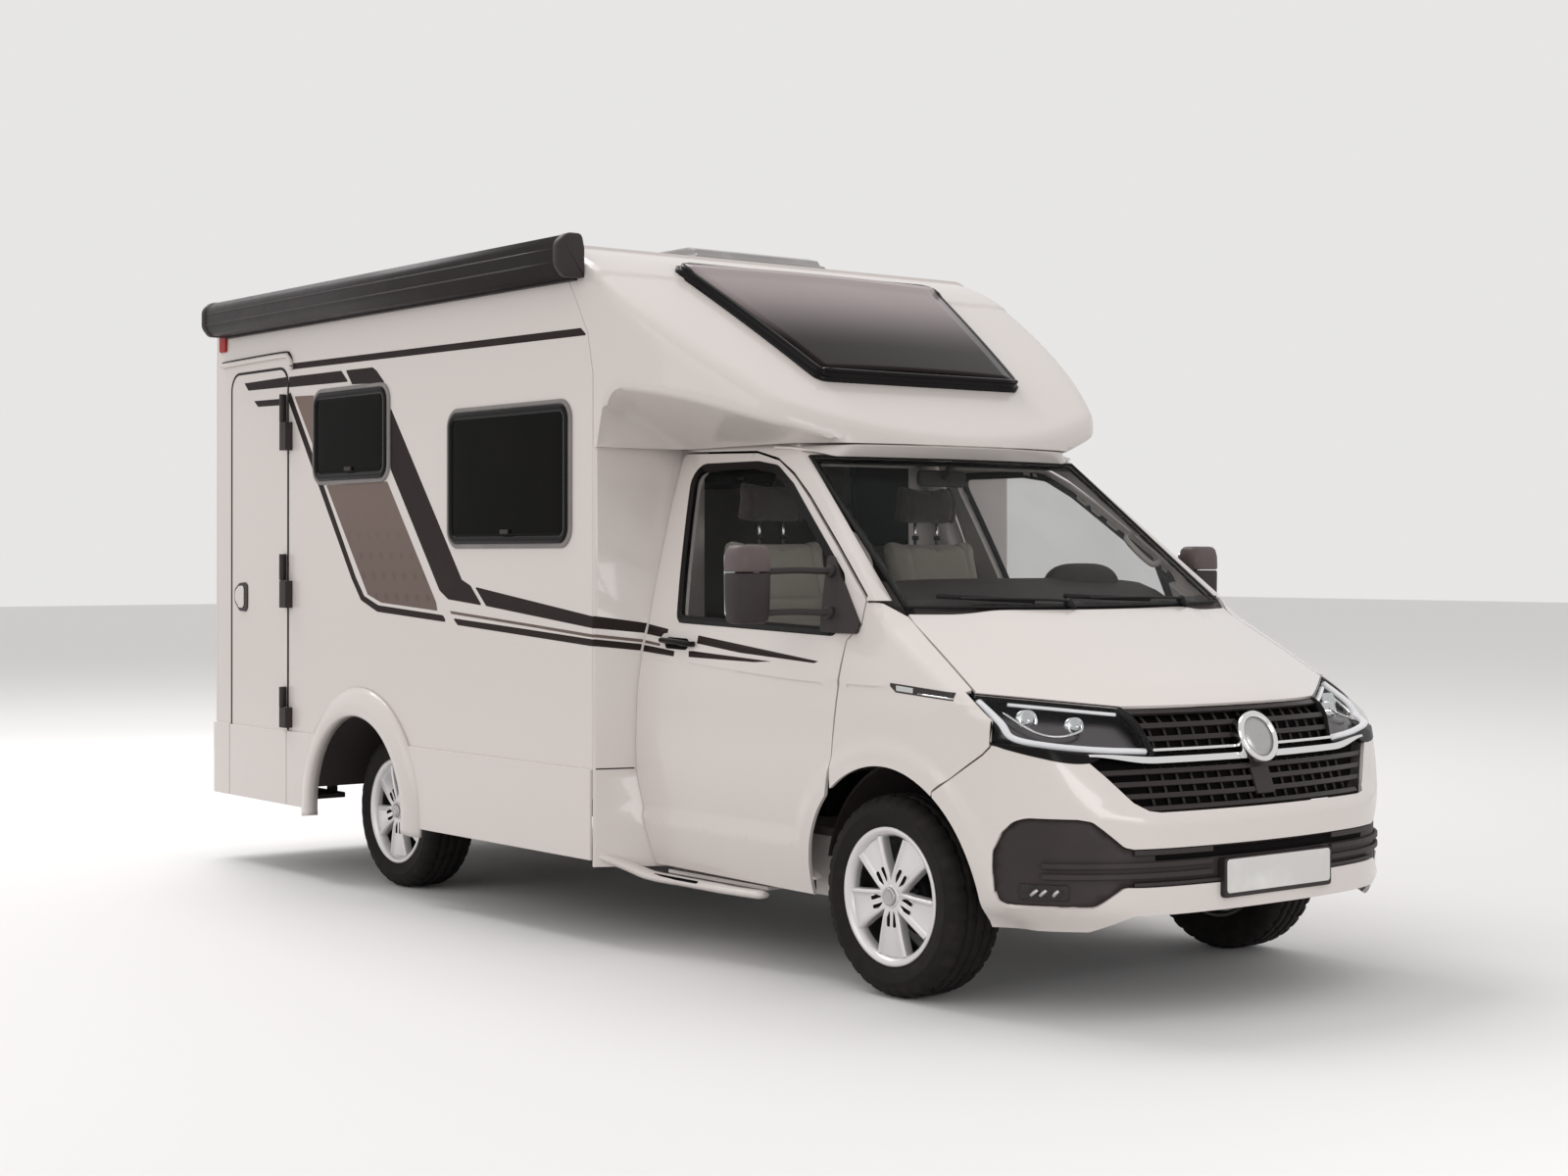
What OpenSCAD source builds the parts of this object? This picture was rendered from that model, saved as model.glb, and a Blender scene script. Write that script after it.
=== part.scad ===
// Low-profile camper van: delivery-van cab, sandwich-panel living body, moulded nose hood.
// Frame: +X forward, +Y left, +Z up, origin on the ground under the middle of the box.

/* [Overall] */
// Length from the front bumper to the rear skirt
body_length = 5880; // [5800:10:6000]
// Width of the living body over its side walls
body_width = 2200; // [2160:10:2260]
// Top of the flat roof above the ground
roof_height = 2735; // [2700:5:2780]
// Distance between the axles
wheelbase = 3400; // [3350:10:3450]
// Front bumper to front axle
front_overhang = 908; // [890:2:920]

/* [Living body] */
// Thickness of walls and roof
wall = 32; // [24:1:40]
// Thickness of the living floor
floor_thickness = 40; // [30:1:50]
// Top of the living floor above the ground
floor_top = 600; // [585:5:620]
// Radius of the roof edges and rear corners
edge_r = 70; // [55:5:85]
// Height of the seam between skirts and walls
skirt_top = 675; // [655:5:695]
// Lower edge of the skirts
skirt_bottom = 325; // [310:5:345]
// Thickness of the skirt panels
skirt_thickness = 12; // [8:1:16]
// Width of the entry door
entry_width = 610; // [580:5:640]
// Depth of the entry door's top below the roof
entry_drop = 347; // [315:4:395]
// Radius of the entry door's upper corners
entry_r = 85; // [60:5:110]
// Gap around doors
door_gap = 5; // [5:0.5:7]
// Depth that the wheel arch flares stand proud of the walls
flare_depth = 42; // [30:1:55]
// Width of the wheel arch flares
flare_width = 100; // [80:2:120]
// Length of the awning case
awning_length = 3150; // [3000:10:3200]
// Depth of the awning case
awning_depth = 118; // [100:2:130]
// Height of the awning case
awning_height = 165; // [140:5:175]

/* [Windows] */
// Length of the large side window
window_length = 923; // [860:1:960]
// Height of the large side window
window_height = 555; // [500:5:580]
// Depth of the large side window's top below the roof
window_drop = 635; // [615:5:660]
// Length of the small side window
small_length = 695; // [640:5:730]
// Height of the small side window
small_height = 410; // [360:5:440]
// Depth of the small side window's top below the roof
small_drop = 485; // [465:5:510]
// Width of the window frames
frame_width = 38; // [28:1:45]
// Corner radius of the side windows
window_r = 60; // [40:5:80]
// Gap between panes and their frames
glass_gap = 0.4; // [0.3:0.1:0.8]

/* [Cab] */
// Width of the cab at its widest
cab_width = 1910; // [1880:2:1930]
// Thickness of the cab doors
door_thickness = 60; // [50:1:66]
// Thickness of the fixed cab panels
panel = 40; // [34:1:46]
// Thickness of the bonnet
bonnet_thickness = 25; // [20:1:28]
// Thickness of the cab glass
glass = 6; // [4:0.5:8]
// Radius of the wheel arches
arch_r = 440; // [430:1:450]
// Shut lines between fixed panels
shut = 4; // [3:0.5:5]
// Height of the cab floor
cab_floor_z = 500; // [490:2:510]
// Gap to a rubber seal at rest
seal = 0.3; // [0.2:0.1:0.5]

/* [Wheels] */
// Outside diameter of the tyres
tyre_d = 690; // [670:2:700]
// Width of the tyres
tyre_w = 235; // [215:1:245]
// Seat diameter of the rims
rim_d = 432; // [420:1:445]
// Distance between the left and right wheel centres
track = 1630; // [1610:2:1640]
// Distance of the steering axis inboard of the wheel centre
scrub = 110; // [104:1:116]
// Radius of the stub axles
stub_r = 32; // [28:1:36]
// Bolt circle of the wheels
bolt_circle = 120; // [108:1:130]
// Running clearance of shafts and pins
run = 0.05; // [0.03:0.01:0.08]
// Spokes of each wheel
spokes = 5; // [5:1:6]

/* [Seats and controls] */
// Width of a cab seat
seat_width = 500; // [460:5:520]
// Distance of the seats from the middle of the cab
seat_offset = 410; // [395:5:425]
// Diameter of the steering wheel
wheel_d = 380; // [350:5:390]

/* [Hidden] */
$fn = 48;
// Facets of a full circle for large arcs
fine = 720;
half = body_length / 2;
hw = body_width / 2;
ch = cab_width / 2;
fa = half - front_overhang;
ra = fa - wheelbase;
tr = tyre_d / 2;
half_track = track / 2;
pin_y = half_track - scrub;
rear_x = -half + skirt_thickness;
wall_end = fa - 1537;
wall_low = floor_top - floor_thickness;
roof_in = roof_height - edge_r;
cab_top = 1925;
door_axis = fa - 164;
door_axis_y = ch + 3;
entry_front = rear_x + 843;
entry_rear = entry_front - entry_width;
hinge_x = entry_front - 15;
hinge_y = -(hw + 26);
liner_r = arch_r + 6;
liner_out = liner_r + 10;
rail_top = cab_floor_z;
rear_inner = 600;
front_inner = 470;
big_x = wall_end - window_length - 157;
small_x = entry_front + 275;
entry_top = roof_height - entry_drop;
window_low = roof_height - window_drop - window_height;
small_low = roof_height - small_drop - small_height;

module along_x(x0, x1) translate([x0, 0, 0]) rotate([90, 0, 90]) linear_extrude(x1 - x0) children();
module along_y(y0, y1) translate([0, y1, 0]) rotate([90, 0, 0]) linear_extrude(y1 - y0) children();
module along_z(z0, z1) translate([0, 0, z0]) linear_extrude(z1 - z0) children();
module both() { children(); mirror([0, 1, 0]) children(); }
module box(a, b) translate(a) cube(b - a);
module cyl_y(x, y0, y1, z, r) translate([x, y1, z]) rotate([90, 0, 0])
  cylinder(r = r, h = y1 - y0, $fn = r > 200 ? 96 : $fn);
module cyl_z(x, y, z0, z1, r) translate([x, y, z0]) cylinder(r = r, h = z1 - z0);
// Rectangle with round corners, from its low corner
module rounded(x, y, w, h, r) {
  translate([x + r, y]) square([w - 2 * r, h]);
  translate([x, y + r]) square([w, h - 2 * r]);
  for (cx = [x + r, x + w - r], cy = [y + r, y + h - r]) translate([cx, cy]) circle(r);
}

// Living body: plan with round rear corners, section with round roof edges
module body_plan(i) {
  r = edge_r - i;
  translate([rear_x + edge_r, -(hw - i)]) square([body_length, 2 * (hw - i)]);
  translate([rear_x + i, -(hw - edge_r)]) square([edge_r, 2 * (hw - edge_r)]);
  for (s = [-1, 1]) translate([rear_x + edge_r, s * (hw - edge_r)]) circle(r);
}
module body_section(i) {
  r = edge_r - i;
  translate([-(hw - i), wall_low - 1]) square([2 * (hw - i), roof_in - wall_low + 1]);
  translate([-(hw - edge_r), roof_in - 1]) square([2 * (hw - edge_r), edge_r - i + 1]);
  for (s = [-1, 1]) translate([s * (hw - edge_r), roof_in]) circle(r);
}
module body_form(i) intersection() {
  along_z(wall_low, roof_height + 10) body_plan(i);
  along_x(rear_x - 10, half) body_section(i);
}
module body_shell() difference() { body_form(0); body_form(wall); }
// Side view of the living body up to the slanting joint with the hood
module wall_side(g) polygon([
  [rear_x - 50, wall_low - 10], [wall_end - g, wall_low - 10], [wall_end - g, roof_height - 535],
  [wall_end - 35 - g, roof_height - 375], [wall_end - 275 - g, roof_height + 20],
  [rear_x - 50, roof_height + 20]
]);
module arch_hole(x, r) translate([x, tr]) circle(r, $fn = 96);
module windows_side(m) {
  rounded(big_x + m, window_low + m, window_length - 2 * m, window_height - 2 * m, window_r - m / 2);
  rounded(small_x + m, small_low + m, small_length - 2 * m, small_height - 2 * m, window_r - m / 2);
}
module entry_outline(g) {
  r = entry_r + g;
  h = entry_top - wall_low + 60 + g;
  translate([entry_rear - g, wall_low - 60]) square([entry_width + 2 * g, h - r]);
  translate([entry_rear + entry_r, wall_low - 60]) square([entry_width - 2 * entry_r, h]);
  for (x = [entry_rear + entry_r, entry_front - entry_r]) translate([x, entry_top - entry_r]) circle(r);
}

module side_wall(right) intersection() {
  body_shell();
  difference() {
    along_y(right ? -hw - 5 : 0, right ? 0 : hw + 5) difference() {
      intersection() {
        wall_side(0);
        translate([rear_x + edge_r, 0]) square([body_length, roof_in]);
      }
      windows_side(0);
      arch_hole(ra, liner_out + seal);
      if (right) entry_outline(door_gap);
    }
  }
}
module side_wall_right() color("#e9e4dc") side_wall(true);
module side_wall_left() color("#e9e4dc") side_wall(false);
module rear_wall() color("#e9e4dc") intersection() {
  body_shell();
  box([rear_x - 5, -hw - 5, wall_low], [rear_x + edge_r, hw + 5, roof_in]);
}
module roof_panel() color("#e9e4dc") intersection() {
  body_shell();
  along_y(-hw - 5, hw + 5) intersection() {
    wall_side(0);
    translate([-half - 50, roof_in]) square([body_length, 300]);
  }
}
module body_floor() color("#4a4642") difference() {
  box([rear_x + wall, -(hw - wall), wall_low], [wall_end, hw - wall, floor_top]);
  both() cyl_y(ra, rear_inner - seal, hw, tr, liner_out + seal);
  box([entry_rear - 40, -hw, wall_low - 5], [entry_front + 60, -(hw - wall - 8), floor_top + 5]);
  both() translate([rear_x, hw - edge_r, 0]) difference() {
    translate([0, 0, wall_low - 5]) cube([edge_r, edge_r, 100]);
    cyl_z(edge_r, 0, 0, 900, edge_r - wall);
  }
}
module window_frames() color("#3c3c3e") {
  both() along_y(hw - wall, hw + 8) difference() {
    windows_side(glass_gap);
    windows_side(frame_width);
  }
  skylight_frame();
}
module window_panes() color("#191a1c") {
  both() along_y(hw - wall + 6, hw + 4) windows_side(frame_width + glass_gap);
  skylight_glass();
}

// Skirts, flares and rear end
module skirt_side(x0, x1) along_y(hw, hw + skirt_thickness) difference() {
  translate([x0, skirt_bottom]) square([x1 - x0, skirt_top - skirt_bottom]);
  arch_hole(ra, arch_r + flare_width);
}
module skirts() color("#e4dfd6") {
  skirt_side(rear_x + edge_r, wall_end);
  mirror([0, 1, 0]) {
    skirt_side(entry_front + door_gap, wall_end);
    skirt_side(rear_x + edge_r, entry_rear - door_gap);
  }
  rear_skirt();
}
module rear_skirt() intersection() {
  along_z(skirt_bottom, skirt_top) difference() {
    translate([-skirt_thickness, 0]) rear_outline(edge_r + skirt_thickness, hw + skirt_thickness);
    rear_outline(edge_r, hw);
  }
  box([-half - 5, -hw - 50, 0], [rear_x + edge_r, hw + 50, skirt_top]);
}
module rear_outline(r, w) {
  x = rear_x;
  translate([x + r, -w]) square([500, 2 * w]);
  translate([x, -(w - r)]) square([500, 2 * (w - r)]);
  for (s = [-1, 1]) translate([x + r, s * (w - r)]) circle(r);
}
module arch_flares() color("#e4dfd6") both() along_y(hw, hw + flare_depth) difference() {
  intersection() {
    arch_hole(ra, arch_r + flare_width - seal);
    translate([ra - 700, skirt_bottom - 30]) square([1400, 900]);
  }
  arch_hole(ra, arch_r);
}
// Wheel housing: round roof over the tyre and a wall inboard of it
module liner(x, y0, y1) difference() {
  cyl_y(x, y0, y1, tr, liner_out);
  cyl_y(x, y0 + 10, y1 + 10, tr, liner_r);
  box([x - 600, y0 - 100, -200], [x + 600, y1 + 100, 430]);
}
module wheel_liners() color("#1b1b1c") both() {
  liner(ra, rear_inner, hw - 4);
  liner(fa, front_inner, 820);
}
module rear_lamps() color("#8d1a1a") both() {
  along_x(rear_x - 8, rear_x) rounded(hw - 260, 760, 120, 330, 30);
  along_x(rear_x - 6, rear_x) rounded(hw - 200, roof_in - 90, 90, 40, 12);
}
// Entry door with its skirt; the hinge barrels stand outside the wall: [bottom, top] of each
upper_hinge = entry_top - 392;
middle_hinge = 880 + (upper_hinge - 880) * 0.335;
hinge_z = [[690, 880], [middle_hinge, middle_hinge + 255], [upper_hinge, upper_hinge + 265]];
barrel_r = 12;
hinge_pin = 5;
module entry_door() color("#ece7df") {
  intersection() {
    along_y(-hw, -(hw - wall)) entry_outline(0);
    box([entry_rear - 5, -hw - 5, wall_low], [entry_front + 5, 0, roof_height]);
  }
  box([entry_rear, -hw - skirt_thickness, skirt_bottom], [entry_front, -hw, skirt_top]);
  for (h = hinge_z) {
    m = (h[0] + h[1]) / 2;
    difference() {
      union() {
        cyl_z(hinge_x, hinge_y, m + seal, h[1], barrel_r);
        box([hinge_x - 34, -hw - 18, m + seal], [hinge_x - 2, -hw, h[1]]);
      }
      cyl_z(hinge_x, hinge_y, m - 5, h[1] - 20, hinge_pin + run);
    }
  }
}
module entry_hinges() color("#1c1c1d") for (h = hinge_z) {
  m = (h[0] + h[1]) / 2;
  cyl_z(hinge_x, hinge_y, h[0], m, barrel_r);
  cyl_z(hinge_x, hinge_y, m - 5, h[1] - 25, hinge_pin);
  box([entry_front + door_gap + 1, -hw - 20, h[0]], [entry_front + 44, -hw, m]);
  box([hinge_x, hinge_y - barrel_r, h[0]], [entry_front + 44, -hw - 16, m]);
}
module awning_outline() {
  z = roof_in - 85;
  r = 40;
  translate([r - awning_depth, z]) square([awning_depth - r, 115]);
  translate([-awning_depth, z + r]) square([awning_depth - 5, awning_height - 2 * r]);
  translate([r - awning_depth, z + awning_height - r]) square([awning_depth - r - 5, r]);
  for (c = [r, awning_height - r]) translate([r - awning_depth, z + c]) circle(r);
}
module awning() color("#3a3a3d") translate([0, -hw, 0]) {
  x = wall_end - 95;
  along_x(x - awning_length, x) awning_outline();
  for (e = [x, x - awning_length - 40]) along_x(e, e + 40) difference() {
    awning_outline();
    translate([0, roof_in - 85]) square([1, 1]);
  }
}
module roof_hatch() color("#77787a") translate([wall_end - 995, 0, roof_height]) {
  box([0, -350, 0], [650, 350, 22]);
  along_y(-335, 335) polygon([[15, 22], [635, 22], [615, 48], [560, 62], [90, 62], [35, 48]]);
}

// Hood over the cab: side profile, plan and round edge section, with undercut flanks
hood_lip = fa - 567;
hood_bow = 2200;
hood_side = 1500;
module hood_profile(i) intersection() {
  translate([fa - 6284, roof_height - 7746]) circle(9000 - i, $fn = 2 * fine);
  union() {
    translate([-half, 0]) square([half + fa - 1892, roof_height - i]);
    translate([fa - 1892, roof_height - 750]) circle(750 - i, $fn = fine);
    polygon([
      [fa - 1892, roof_height - 750], [fa - 1515 - i * 0.53, roof_height - 114 - i * 0.848],
      [fa + 200 - i * 0.53, roof_height - 1186 - i * 0.848], [fa + 200, 0], [fa - 1892, 0]
    ]);
  }
}
module hood_plan(i) intersection() {
  translate([hood_lip - hood_bow, 0]) circle(hood_bow - i, $fn = fine);
  union() {
    translate([-half, -(hw - i)]) square([half + fa - 1582, 2 * (hw - i)]);
    intersection() {
      translate([fa - 1582, -(hood_side - hw)]) circle(hood_side - i, $fn = fine);
      translate([fa - 1582, hood_side - hw]) circle(hood_side - i, $fn = fine);
      translate([fa - 1590, -hw]) square([2000, 2 * hw]);
    }
  }
}
// Wedge under the fin line along the flank of the hood
module hood_wedge(i) translate([fa - 1447, hw, cab_top + 200 + i]) rotate([0, 13, -20.5])
  translate([0, 0, 0]) along_x(-0, 1500) polygon([[400, 228], [-640, -300], [400, -900]]);
module hood_form(i) difference() {
  intersection() {
    along_y(-hw - 5, hw + 5) hood_profile(i);
    along_z(i > 0 ? cab_top - 40 : cab_top, roof_height + 10) hood_plan(i);
    along_x(wall_end - (i > 0 ? 555 : 495), half) hood_section(i);
  }
  both() intersection() {
    hood_wedge(i);
    box([wall_end + 30 - i, 0, 0], [half, 2 * hw, 2 * roof_height]);
  }
}
module hood_section(i) {
  r = edge_r - i;
  translate([-(hw - i), cab_top - 60]) square([2 * (hw - i), roof_in - cab_top + 60]);
  translate([-(hw - edge_r), roof_in - 1]) square([2 * (hw - edge_r), edge_r - i + 1]);
  for (s = [-1, 1]) translate([s * (hw - edge_r), roof_in]) circle(r);
}
sky_length = (roof_height - cab_top - 302) / sin(35);
module sky_outline(m) polygon([
  [-m, -(700 + m)], [sky_length + m, -(530 + m)], [sky_length + m, 530 + m], [-m, 700 + m]
]);
// Sloping seat of the skylight: local X runs down the hood
module on_hood() translate([fa - 1560, 0, roof_height - 66]) rotate([0, 35, 0]) children();
module nose_hood() color("#ebe6de") difference() {
  intersection() {
    difference() { hood_form(0); hood_form(wall); }
    along_y(-hw - 5, hw + 5) difference() {
      translate([wall_end - 695, cab_top]) square([half, 1200]);
      wall_side(0);
    }
  }
  on_hood() translate([0, 0, -150]) linear_extrude(400) sky_outline(0);
}
module skylight_frame() on_hood() difference() {
  translate([0, 0, -14]) linear_extrude(60) sky_outline(-glass_gap);
  translate([0, 0, -20]) linear_extrude(80) sky_outline(-34);
}
module skylight_glass() on_hood() translate([0, 0, 18]) linear_extrude(glass)
  sky_outline(-34 - glass_gap);

// Cab form: plan with bowed front, barrel sides, leaning upper sides, bonnet and windscreen
cab_bottom = 290;
insert_back = 44;
edge_flange = 20;
bow_r = 2600;
corner_r = 1340;
corner_x = fa + 168;
barrel_r2 = 2200;
barrel_z = 850;
crown_r = 8000;
screen_r = 4400;
module cab_plan(i) intersection() {
  translate([half - bow_r, 0]) circle(bow_r - i, $fn = fine);
  union() {
    translate([wall_end, -(ch - i)]) square([corner_x - wall_end, 2 * (ch - i)]);
    intersection() {
      translate([corner_x, ch - corner_r]) circle(corner_r - i, $fn = fine);
      translate([corner_x, corner_r - ch]) circle(corner_r - i, $fn = fine);
      translate([corner_x - 1, -ch]) square([2000, 2 * ch]);
    }
  }
}
module barrel(s, i) translate([wall_end - 10, s * (ch - barrel_r2), barrel_z]) rotate([0, 90, 0])
  cylinder(r = barrel_r2 - i, h = 3000, $fn = fine);
module lean(s, i) translate([wall_end - 10, s * (ch - 30), 1220]) rotate([s * 18.8, 0, 0])
  translate([0, s > 0 ? -4000 : i, -3000]) cube([3000, 4000 - i, 6000]);
// Sloping shoulder between bonnet and wing
module shoulder(s, i) translate([fa + 364, s * 907, 1052]) rotate([-14.22 * s, 29.12, 0])
  translate([-3000, -3000, -4000]) cube([6000, 6000, 4000 - i]);
module under_bonnet(i) intersection() {
  shoulder(1, i);
  shoulder(-1, i);
  translate([half - 150, 0, 1003]) rotate([0, 24, 0]) translate([-4000, 0, -crown_r]) rotate([0, 90, 0])
    cylinder(r = crown_r - i, h = 6000, $fn = 2 * fine);
  translate([half - 15, 0, 650]) rotate([0, -20.9, 0]) translate([-bow_r, 0, -3000])
    cylinder(r = bow_r - i, h = 6000, $fn = fine);
  translate([half, 0, 400]) rotate([0, 48, 0]) translate([-4000, -1500, -3000]) cube([4000 - i, 3000, 6000]);
}
module under_screen(i) intersection() {
  translate([fa + 68, 0, 1318]) rotate([0, 37.8, 0]) translate([-4000, 0, -screen_r]) rotate([0, 90, 0])
    cylinder(r = screen_r - i, h = 6000, $fn = fine);
  box([0, -1500, 1000], [half, 1500, cab_top + 400]);
}
module cab_form(i, top = cab_top) intersection() {
  along_z(i > 0 ? cab_bottom - 100 : cab_bottom, top) cab_plan(i);
  barrel(1, i);
  barrel(-1, i);
  lean(1, i);
  lean(-1, i);
  union() { under_bonnet(i); under_screen(i); }
}
module cab_skin(a, b) difference() { cab_form(a); cab_form(b, cab_top + 300); }

// Outlines that part the cab skin, in side view (X, Z) and front view (Y, Z)
module door_outline() difference() {
  polygon([
    [fa - 1512, 1900], [fa - 1432, 1250], [fa - 1455, 995], [fa - 1468, 660], [fa - 1402, 312],
    [fa - 395, 300], [fa - 283, 770], [fa - 235, 1207], [fa - 174, 1262], [fa - 174, 1348],
    [fa - 408, 1536], [fa - 636, 1709], [fa - 767, 1796], [fa - 885, 1855], [fa - 1033, 1888]
  ]);
  arch_hole(fa, arch_r);
}
module door_window() polygon([
  [fa - 1404, 1840], [fa - 1238, 1262], [fa - 300, 1236], [fa - 330, 1420], [fa - 480, 1536],
  [fa - 763, 1752], [fa - 888, 1822], [fa - 1013, 1840]
]);
module lamp_front(m) polygon([
  [490 + m, 1000 - m], [904 - m, 1048 - m], [914 - m, 892 + m], [700, 856 + m], [444 + m, 848 + m]
]);
module grille_front(m) polygon([
  [-(486 - m), 999 - m], [486 - m, 999 - m], [440 - m, 842], [700 - m * 2, 836 - m], [530 - m, 678 + m],
  [-(530 - m), 678 + m], [-(700 - m * 2), 836 - m], [-(440 - m), 842]
]);
module insert_front(m) polygon([
  [-(885 - m), 650 - m], [-(700 + m / 2), 650 - m], [-(590 + m / 2), 556 - m], [590 + m / 2, 556 - m],
  [700 + m / 2, 650 - m], [885 - m, 650 - m], [935 - m, 530], [918 - m, 390 + m], [660 + m / 2, 358 + m],
  [565 + m / 2, 432 + m], [-(565 + m / 2), 432 + m], [-(660 + m / 2), 358 + m], [-(918 - m), 390 + m],
  [-(935 - m), 530]
]);
module screen_front(m) polygon([
  [-(848 - m), 1265], [848 - m, 1265], [682 - m, 1866 - m], [-(682 - m), 1866 - m]
]);
module bonnet_front(m) polygon([
  [-1000, 1066 + m], [-905, 1052 + m], [-490, 1003 + m], [490, 1003 + m], [905, 1052 + m],
  [1000, 1066 + m], [1000, 1700], [-1000, 1700]
]);
module bonnet_plan(m) polygon([
  [fa - 400, -(748 - m)], [fa - 74, -(802 - m)], [fa + 370, -(874 - m)], [fa + 480, -(890 - m)],
  [half + 50, -(890 - m)], [half + 50, 890 - m], [fa + 480, 890 - m], [fa + 370, 874 - m],
  [fa - 74, 802 - m], [fa - 400, 748 - m]
]);
module wing_side() difference() {
  polygon([
    [fa - 283 + shut + 2, 770], [fa - 235 + shut + 2, 1205], [fa - 166, 1258], [fa - 166, 1340],
    [fa + 364, 1340], [fa + 364, 1054], [fa + 494, 872], [fa + 458, 856], [fa + 255, 723], [fa + 200, 500],
    [fa - 283 + shut + 2, 500]
  ]);
  arch_hole(fa, arch_r);
}
module pillar_side() polygon([
  [fa - 1494, 1908], [fa - 1033, 1898], [fa - 880, 1866], [fa - 760, 1808], [fa - 628, 1721],
  [fa - 400, 1548], [fa - 164, 1362], [fa - 164, 1344], [fa + 400, 1344], [fa + 400, 2000], [fa - 1494, 2000]
]);

module windscreen_frame() color("#e9e4dc") difference() {
  intersection() {
    cab_skin(0, panel);
    along_y(-ch, ch) pillar_side();
  }
  along_x(fa - 900, half) screen_front(0);
}
// Curved foot of the windscreen in plan
module foot(d) translate([fa - 2504, 0]) circle(2600 + d, $fn = fine);
module windscreen() color("#2b3336") intersection() {
  cab_skin(1, 1 + glass);
  along_x(fa - 900, fa + 300) screen_front(glass_gap);
  along_z(1200, 2000) foot(-22);
}
module cowl() color("#161617") intersection() {
  under_screen(1 + glass + seal);
  box([fa - 300, -770, 1240], [fa + 300, 770, 1420]);
  along_z(1200, 2000) difference() { foot(-shut); foot(-70); }
}
module cab_door(s) difference() {
  intersection() {
    cab_skin(0, door_thickness);
    along_y(s > 0 ? 400 : -ch - 5, s > 0 ? ch + 5 : -400) door_outline();
  }
  along_y(-ch - 5, ch + 5) door_window();
  intersection() {
    along_y(-ch - 5, ch + 5) difference() { pillar_rear(45); pillar_rear(-40); }
    cab_form(edge_flange);
  }
}
module cab_door_right() color("#e9e4dc") cab_door(-1);
module cab_door_left() color("#e9e4dc") cab_door(1);
module door_glass(s) intersection() {
  cab_skin(20, 20 + glass);
  along_y(s > 0 ? 400 : -ch - 5, s > 0 ? ch + 5 : -400) offset(delta = -glass_gap) door_window();
}
module door_glass_right() color("#2b3336") door_glass(-1);
module door_glass_left() color("#2b3336") door_glass(1);
// Door mirror: sail plate over the front corner of the window, two arms and a housing
// Arms: height, depth of the root behind the widest part of the cab, place of the root behind the axle
mirror_arms = [[1300, 53, 345], [1445, 103, 392]];
module door_mirror(s) mirror([0, s > 0 ? 0 : 1, 0]) {
  intersection() {
    cab_skin(-12, -seal);
    along_y(400, ch + 50) polygon([
      [fa - 372, 1232], [fa - 172, 1232], [fa - 172, 1268], [fa - 395, 1500], [fa - 425, 1500]
    ]);
  }
  for (a = mirror_arms) along_z(a[0] - 11, a[0] + 11) polygon([
    [fa - a[2], ch - a[1] + 4], [fa - a[2] + 28, ch - a[1] + 4], [fa - 435, ch + 145], [fa - 470, ch + 145]
  ]);
  along_z(1262, 1537) polygon([
    [fa - 505, ch + 130], [fa - 525, ch + 148], [fa - 525, ch + 272], [fa - 485, ch + 285],
    [fa - 432, ch + 266], [fa - 416, ch + 215], [fa - 420, ch + 148], [fa - 445, ch + 130]
  ]);
}
module mirror_right() color("#1d1d1e") door_mirror(-1);
module mirror_left() color("#1d1d1e") door_mirror(1);

module bonnet() color("#ebe6de") difference() {
  intersection() {
    cab_skin(0, bonnet_thickness);
    along_x(fa - 300, half + 20) bonnet_front(shut / 2);
    along_z(900, 1500) bonnet_plan(door_gap / 2);
  }
  along_z(800, 1600) foot(shut / 2);
}
// The bonnet rests on flanges of the wings ahead of its hinge
module front_wings() color("#e9e4dc") both() difference() {
  intersection() {
    cab_skin(0, panel);
    along_y(300, ch + 5) wing_side();
  }
  along_z(700, 1500) bonnet_plan(26);
  intersection() {
    along_z(700, 1500) bonnet_plan(-door_gap / 2);
    union() {
      cab_skin(0, bonnet_thickness + seal);
      box([fa - 400, 0, 700], [fa + 60, 1200, 1500]);
    }
  }
  along_x(fa, half) lamp_front(-shut);
  along_x(fa - 900, fa - 40) screen_front(-glass_gap);
}
module headlamps() color("#26282a") both() difference() {
  intersection() { cab_skin(5, 70); along_x(fa, half) lamp_front(0); }
  intersection() { cab_skin(4, 48); along_x(fa, half) lamp_front(14); }
}
module lamp_lenses() color("#cfd6da") both() intersection() {
  cab_skin(0, 5 - seal);
  along_x(fa, half) lamp_front(0);
}
module grille() color("#151617") difference() {
  intersection() { cab_skin(12, 40); along_x(fa + 400, half) grille_front(0); }
  along_x(fa, half + 10) intersection() {
    grille_front(16);
    for (z = [690, 728, 766, 804, 862, 905, 948]) translate([-800, z]) square([1600, z > 840 ? 30 : 26]);
  }
}
module front_bumper() color("#e9e4dc") difference() {
  intersection() {
    cab_skin(0, panel);
    along_y(-ch, ch) polygon([
      [fa + 100, 280], [half + 10, 280], [half + 10, 880], [fa + 494 + shut, 868], [fa + 460, 852],
      [fa + 257 + shut, 720], [fa + 200, 500]
    ]);
    along_x(fa, half + 10) polygon([
      [-1000, 200], [1000, 200], [1000, 900], [914, 885], [700, 850], [444, 842], [-444, 842], [-700, 850],
      [-914, 885], [-1000, 900]
    ]);
  }
  along_x(fa, half + 10) { grille_front(-shut); insert_front(0); }
  both() cyl_y(fa, 300, 1200, tr, arch_r);
}
module bumper_insert() color("#1e1d1d") intersection() {
  cab_skin(10, insert_back);
  along_x(fa + 400, half) insert_front(seal);
}
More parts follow.
